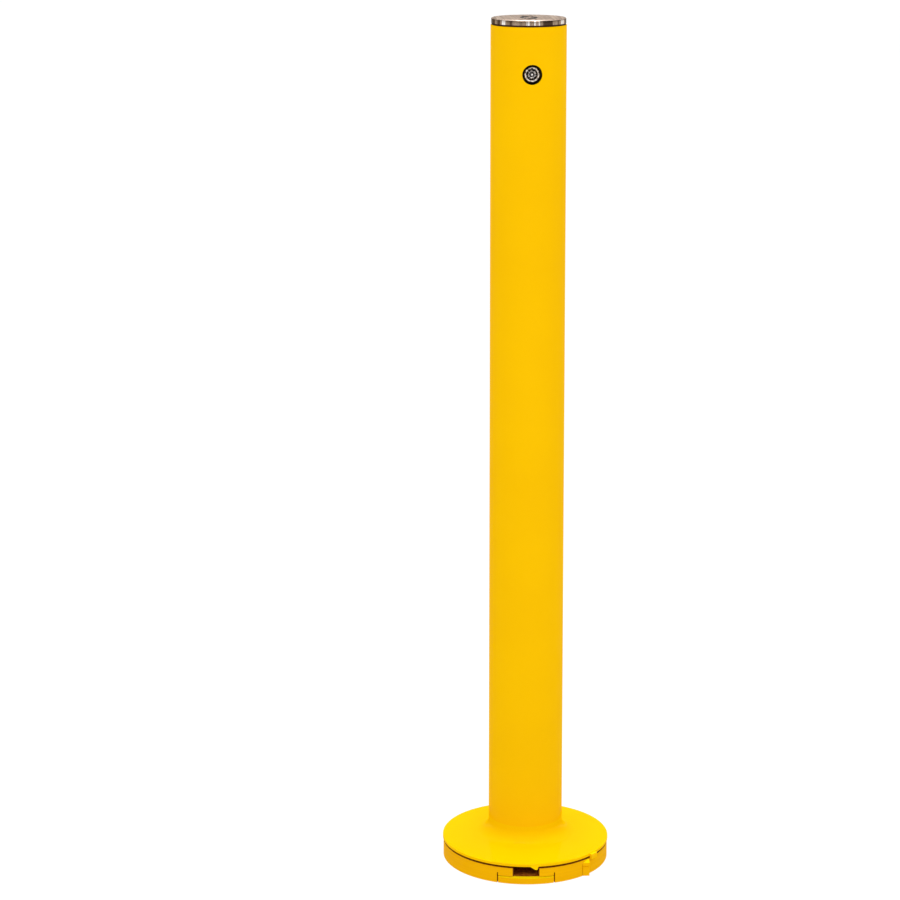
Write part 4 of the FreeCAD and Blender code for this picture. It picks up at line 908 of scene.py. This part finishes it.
# %% Cap
cap_low, cap_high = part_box("top_cap")
CAP_R = TUBE_R - 0.55 * MM
CAP_ROUND = 1.8 * MM
CAP_CHAMFER = 0.4 * MM
cap_edge = curve(CAP_R - CAP_ROUND, cap_high.z - CAP_ROUND, CAP_ROUND, 0, 90, 8)
cap = lathe("cap", [(0, cap_low.z), (CAP_R - CAP_CHAMFER, cap_low.z),
                    (CAP_R, cap_low.z + CAP_CHAMFER)] + cap_edge + [(0, cap_high.z)])
cap.data.materials.append(brushed_top)
# The upright edge faces take the polished edge finish, whose colour holds painted reflections.
paint_faces(cap, polished_edge_painted_reflections, lambda face: face.normal.z < 0.4
            and face.center.z > cap_low.z + 0.1 * MM)
# The lower chamfer is painted black, as painted shade under the cap.
paint_faces(cap, black_steel, lambda face: face.center.z < cap_low.z + CAP_CHAMFER)
ENGRAVED = 0.5 * MM
MARK_AT = (-0.4 * MM, -3 * MM, 0)
MARK_STRETCH = 1.8              # the mark is longer from front to back than across
SHAFT_IN = 5.8 * MM
SHAFT_OUT = 10.2 * MM
SHAFT_ANGLE = 116
HEAD_AT = 8.1 * MM
HEAD_SIZE = 6.4 * MM
HEAD_LEAD = 16


def engrave(tool):
    """Stretches an enamel-black tool, moves it to the mark's place and cuts it into the cap."""
    tool.location = MARK_AT
    tool.scale = (1, MARK_STRETCH, 1)
    settle(tool)
    tool.data.materials.clear()
    tool.data.materials.append(engraving_enamel)
    combine(cap, tool, keep_finish=True)


for turn_to in (90, 270):
    engrave(ring_block("arrow_shaft", SHAFT_IN, SHAFT_OUT, cap_high.z - ENGRAVED,
                       cap_high.z + 1 * MM, turn_to, SHAFT_ANGLE, 20))
    let_go()
    tip_angle = math.radians(turn_to - 90 - SHAFT_ANGLE / 2 - HEAD_LEAD)
    bpy.ops.mesh.primitive_cylinder_add(
        vertices=3, radius=HEAD_SIZE, depth=ENGRAVED + 1 * MM,
        location=(HEAD_AT * math.cos(tip_angle), HEAD_AT * math.sin(tip_angle),
                  cap_high.z - ENGRAVED + (ENGRAVED + 1 * MM) / 2),
        rotation=(0, 0, tip_angle + math.pi))
    engrave(settle(bpy.context.object))
take(cap)
bpy.ops.object.shade_smooth_by_angle(angle=math.radians(40))
dress(cap, brushed_top, "cap_drive", "stainless", "top_cap")

# %% [markdown]
# A dark rubber seal fills most of the gap under the cap. Only its outer lip is seen.

# %% Seal under the cap
seal_low, seal_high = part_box("cap_seal")
SEAL_OUT = seal_high.x
LIP_OUT = CAP_R - 0.6 * MM
seal = lathe("seal", [
    (SEAL_OUT - 3 * MM, seal_low.z), (SEAL_OUT, seal_low.z), (SEAL_OUT, tube_high.z + 0.15 * MM),
    (LIP_OUT, tube_high.z + 0.15 * MM), (LIP_OUT, cap_low.z - 0.1 * MM),
    (SEAL_OUT - 0.75 * MM, cap_low.z - 0.1 * MM), (SEAL_OUT - 1.5 * MM, seal_high.z),
    (SEAL_OUT - 1.5 * MM, tube_high.z - 1.5 * MM), (SEAL_OUT - 3 * MM, tube_high.z - 1.5 * MM)])
soften(seal, 0.15 * MM, 2)
dress(seal, dark_rubber, "post", "seal_rubber", "cap_seal")

# %% [markdown]
# ## Lock
#
# A tubular key is a short tube, so the lock shows rings: the bevelled head, a narrow ring-shaped
# keyway with seven small pins at its bottom, and a round post in the middle. A notch at the top
# of the head lets the key's lug in. The lock lies along Y, so its outlines spin about Y.

# %% Lock barrel
barrel_low, barrel_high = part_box("lock_barrel")
FACE_Y = barrel_low.y
HEAD_R = barrel_high.x
HEAD_REAR = FACE_Y + 5.5 * MM
KEYWAY_R = 6.4 * MM
LOCK_CENTRE = (0, 0, LOCK_Z)
barrel = lathe("barrel", [
    (KEYWAY_R, FACE_Y + 0.5 * MM), (KEYWAY_R + 0.5 * MM, FACE_Y), (HEAD_R - 0.9 * MM, FACE_Y),
    (HEAD_R, FACE_Y + 0.9 * MM), (HEAD_R, HEAD_REAR), (8 * MM, HEAD_REAR),
    (8 * MM, barrel_high.y), (4.05 * MM, barrel_high.y), (4.05 * MM, barrel_high.y - 1.5 * MM),
    (KEYWAY_R, barrel_high.y - 1.5 * MM)], steps=96, about="Y", centre=LOCK_CENTRE)
let_go()
bpy.ops.mesh.primitive_cube_add(size=1, location=(0, FACE_Y, LOCK_Z + KEYWAY_R + 0.4 * MM))
key_notch = bpy.context.object
key_notch.scale = (2.2 * MM, 6 * MM, 2 * MM)
combine(barrel, settle(key_notch))
soften(barrel, 0.15 * MM, 2)


def off_lock_axis(point):
    return math.hypot(point.x, point.z - LOCK_Z)


barrel.data.materials.append(lock_ring)
paint_faces(barrel, lock_metal, lambda face: off_lock_axis(face.center) < 7.1 * MM)
# Faces more than 1.2 mm behind the lock's front are painted black, as painted shade inside the keyway.
paint_faces(barrel, black_steel, lambda face: face.center.y > FACE_Y + 1.2 * MM)
dress(barrel, lock_ring, "post", "lock_nickel", "lock_barrel")

# %% Lock core and pins
core_low, core_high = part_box("lock_core")
POST_R = 4.9 * MM
CORE_FRONT = core_low.y
SHELF_Y = FACE_Y + 6.5 * MM
core = lathe("core", [
    (0, CORE_FRONT + 0.2 * MM), (0.9 * MM, CORE_FRONT + 0.3 * MM),
    (1.3 * MM, CORE_FRONT + 0.7 * MM), (1.5 * MM, CORE_FRONT + 1.6 * MM),
    (2.7 * MM, CORE_FRONT + 1.6 * MM), (3 * MM, CORE_FRONT), (POST_R - 0.3 * MM, CORE_FRONT),
    (POST_R, CORE_FRONT + 0.3 * MM), (POST_R, SHELF_Y), (core_high.x, SHELF_Y),
    (core_high.x, barrel_high.y - 1.55 * MM), (4 * MM, barrel_high.y - 1.55 * MM),
    (4 * MM, core_high.y), (0, core_high.y)], steps=96, about="Y", centre=LOCK_CENTRE)
soften(core, 0.08 * MM, 2)
core.data.materials.append(lock_metal)
paint_faces(core, lock_point, lambda face: off_lock_axis(face.center) < 1.35 * MM
            and face.center.y < CORE_FRONT + 1 * MM)
# The core's faces behind its front are painted black, as painted shade inside the keyway.
paint_faces(core, black_steel, lambda face: face.center.y > CORE_FRONT + 1.2 * MM)
dress(core, lock_metal, "lock_core", "lock_nickel", "lock_core")

# One pin is turned with a domed tip, and copied round the keyway.
PIN_R = 0.55 * MM
PIN_CIRCLE = (POST_R + KEYWAY_R) / 2
pins_low, pins_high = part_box("tumbler_pins")
dome = [(PIN_R * math.sin(math.radians(a)), pins_low.y + PIN_R * (1 - math.cos(math.radians(a))))
        for a in (0, 30, 60, 90)]
first_pin = lathe("pins", dome + [(PIN_R, pins_high.y), (0, pins_high.y)], steps=16, about="Y",
                  centre=(0, 0, LOCK_Z + PIN_CIRCLE))
copies = [first_pin]
for number in range(1, 7):
    copy = first_pin.copy()
    copy.data = first_pin.data.copy()
    scene.collection.objects.link(copy)
    angle = math.tau * number / 7
    copy.location = (PIN_CIRCLE * math.sin(angle), 0, PIN_CIRCLE * (math.cos(angle) - 1))
    copies.append(settle(copy))
let_go()
for copy in copies:
    copy.select_set(True)
bpy.context.view_layer.objects.active = first_pin
bpy.ops.object.join()
bpy.ops.object.shade_smooth_by_angle(angle=math.radians(50))
dress(first_pin, turned_steel, "lock_core", "lock_nickel", "tumbler_pins")

# %% [markdown]
# ## Base fittings
#
# With the post lifted off, the boss shows its keeper plate and the nylon seat ring. The plate's
# slot has square corners, and its edges are broken so that the cam finds its way in.

# %% Keeper plate
SLOT_LENGTH = 44 * MM
SLOT_WIDTH = 18 * MM
keeper = lathe("keeper", [(0, keeper_low.z), (keeper_high.x, keeper_low.z),
                          (keeper_high.x, keeper_high.z), (0, keeper_high.z)])
let_go()
bpy.ops.mesh.primitive_cube_add(size=1, location=(0, 0, (keeper_low.z + keeper_high.z) / 2))
slot_room = bpy.context.object
slot_room.scale = (SLOT_LENGTH, SLOT_WIDTH, 20 * MM)
combine(keeper, settle(slot_room))
screws_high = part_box("keeper_screws")[1]
SCREW_CIRCLE = (screws_high.x - 4 * MM) * math.sqrt(2)
screw_places = [(SCREW_CIRCLE * math.cos(math.radians(a)), SCREW_CIRCLE * math.sin(math.radians(a)))
                for a in (45, 135, 225, 315)]
for x, y in screw_places:
    let_go()
    bpy.ops.mesh.primitive_cone_add(vertices=32, radius1=2 * MM, radius2=4.2 * MM,
                                    depth=2.2 * MM,
                                    location=(x, y, keeper_high.z - 1.05 * MM))
    combine(keeper, settle(bpy.context.object))
soften(keeper, 0.4 * MM)
dress(keeper, zinc_metal, "base", "zinc_steel", "keeper_plate")

# %% Seat ring
seat = lathe("seat", [(seat_high.x - 14 * MM, seat_low.z), (seat_high.x, seat_low.z),
                      (seat_high.x, seat_high.z), (seat_high.x - 14 * MM, seat_high.z)])
soften(seat, 0.6 * MM)
dress(seat, black_nylon, "base", "nylon", "seat_ring")

# %% [markdown]
# ## Everything else
#
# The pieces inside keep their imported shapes. Each gets the finish of its slot, so that nothing
# is left plain where the post is lifted or seen from below.

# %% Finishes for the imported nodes
FINISH_OF_SLOT = {
    "yellow_paint": base_coat, "stainless": brushed_top, "lock_nickel": lock_metal,
    "black_steel": black_steel, "zinc_steel": zinc_metal, "nylon": black_nylon,
    "seal_rubber": dark_rubber, "bronze": bronze_metal,
}
TURNED_NODES = {"drive_rod", "cap_spindle", "rod_pin", "stop_pin"}
slot_of = {row["node"]: row["material_slot"] for row in frame["record"]["subparts"]}
for name, node in frame["nodes"].items():
    finish = turned_steel if name in TURNED_NODES else FINISH_OF_SLOT[slot_of[name]]
    node.data.materials.clear()
    node.data.materials.append(finish)
print("packed nodes with finishes:", len(frame["nodes"]))

# %% Let go of everything
let_go()
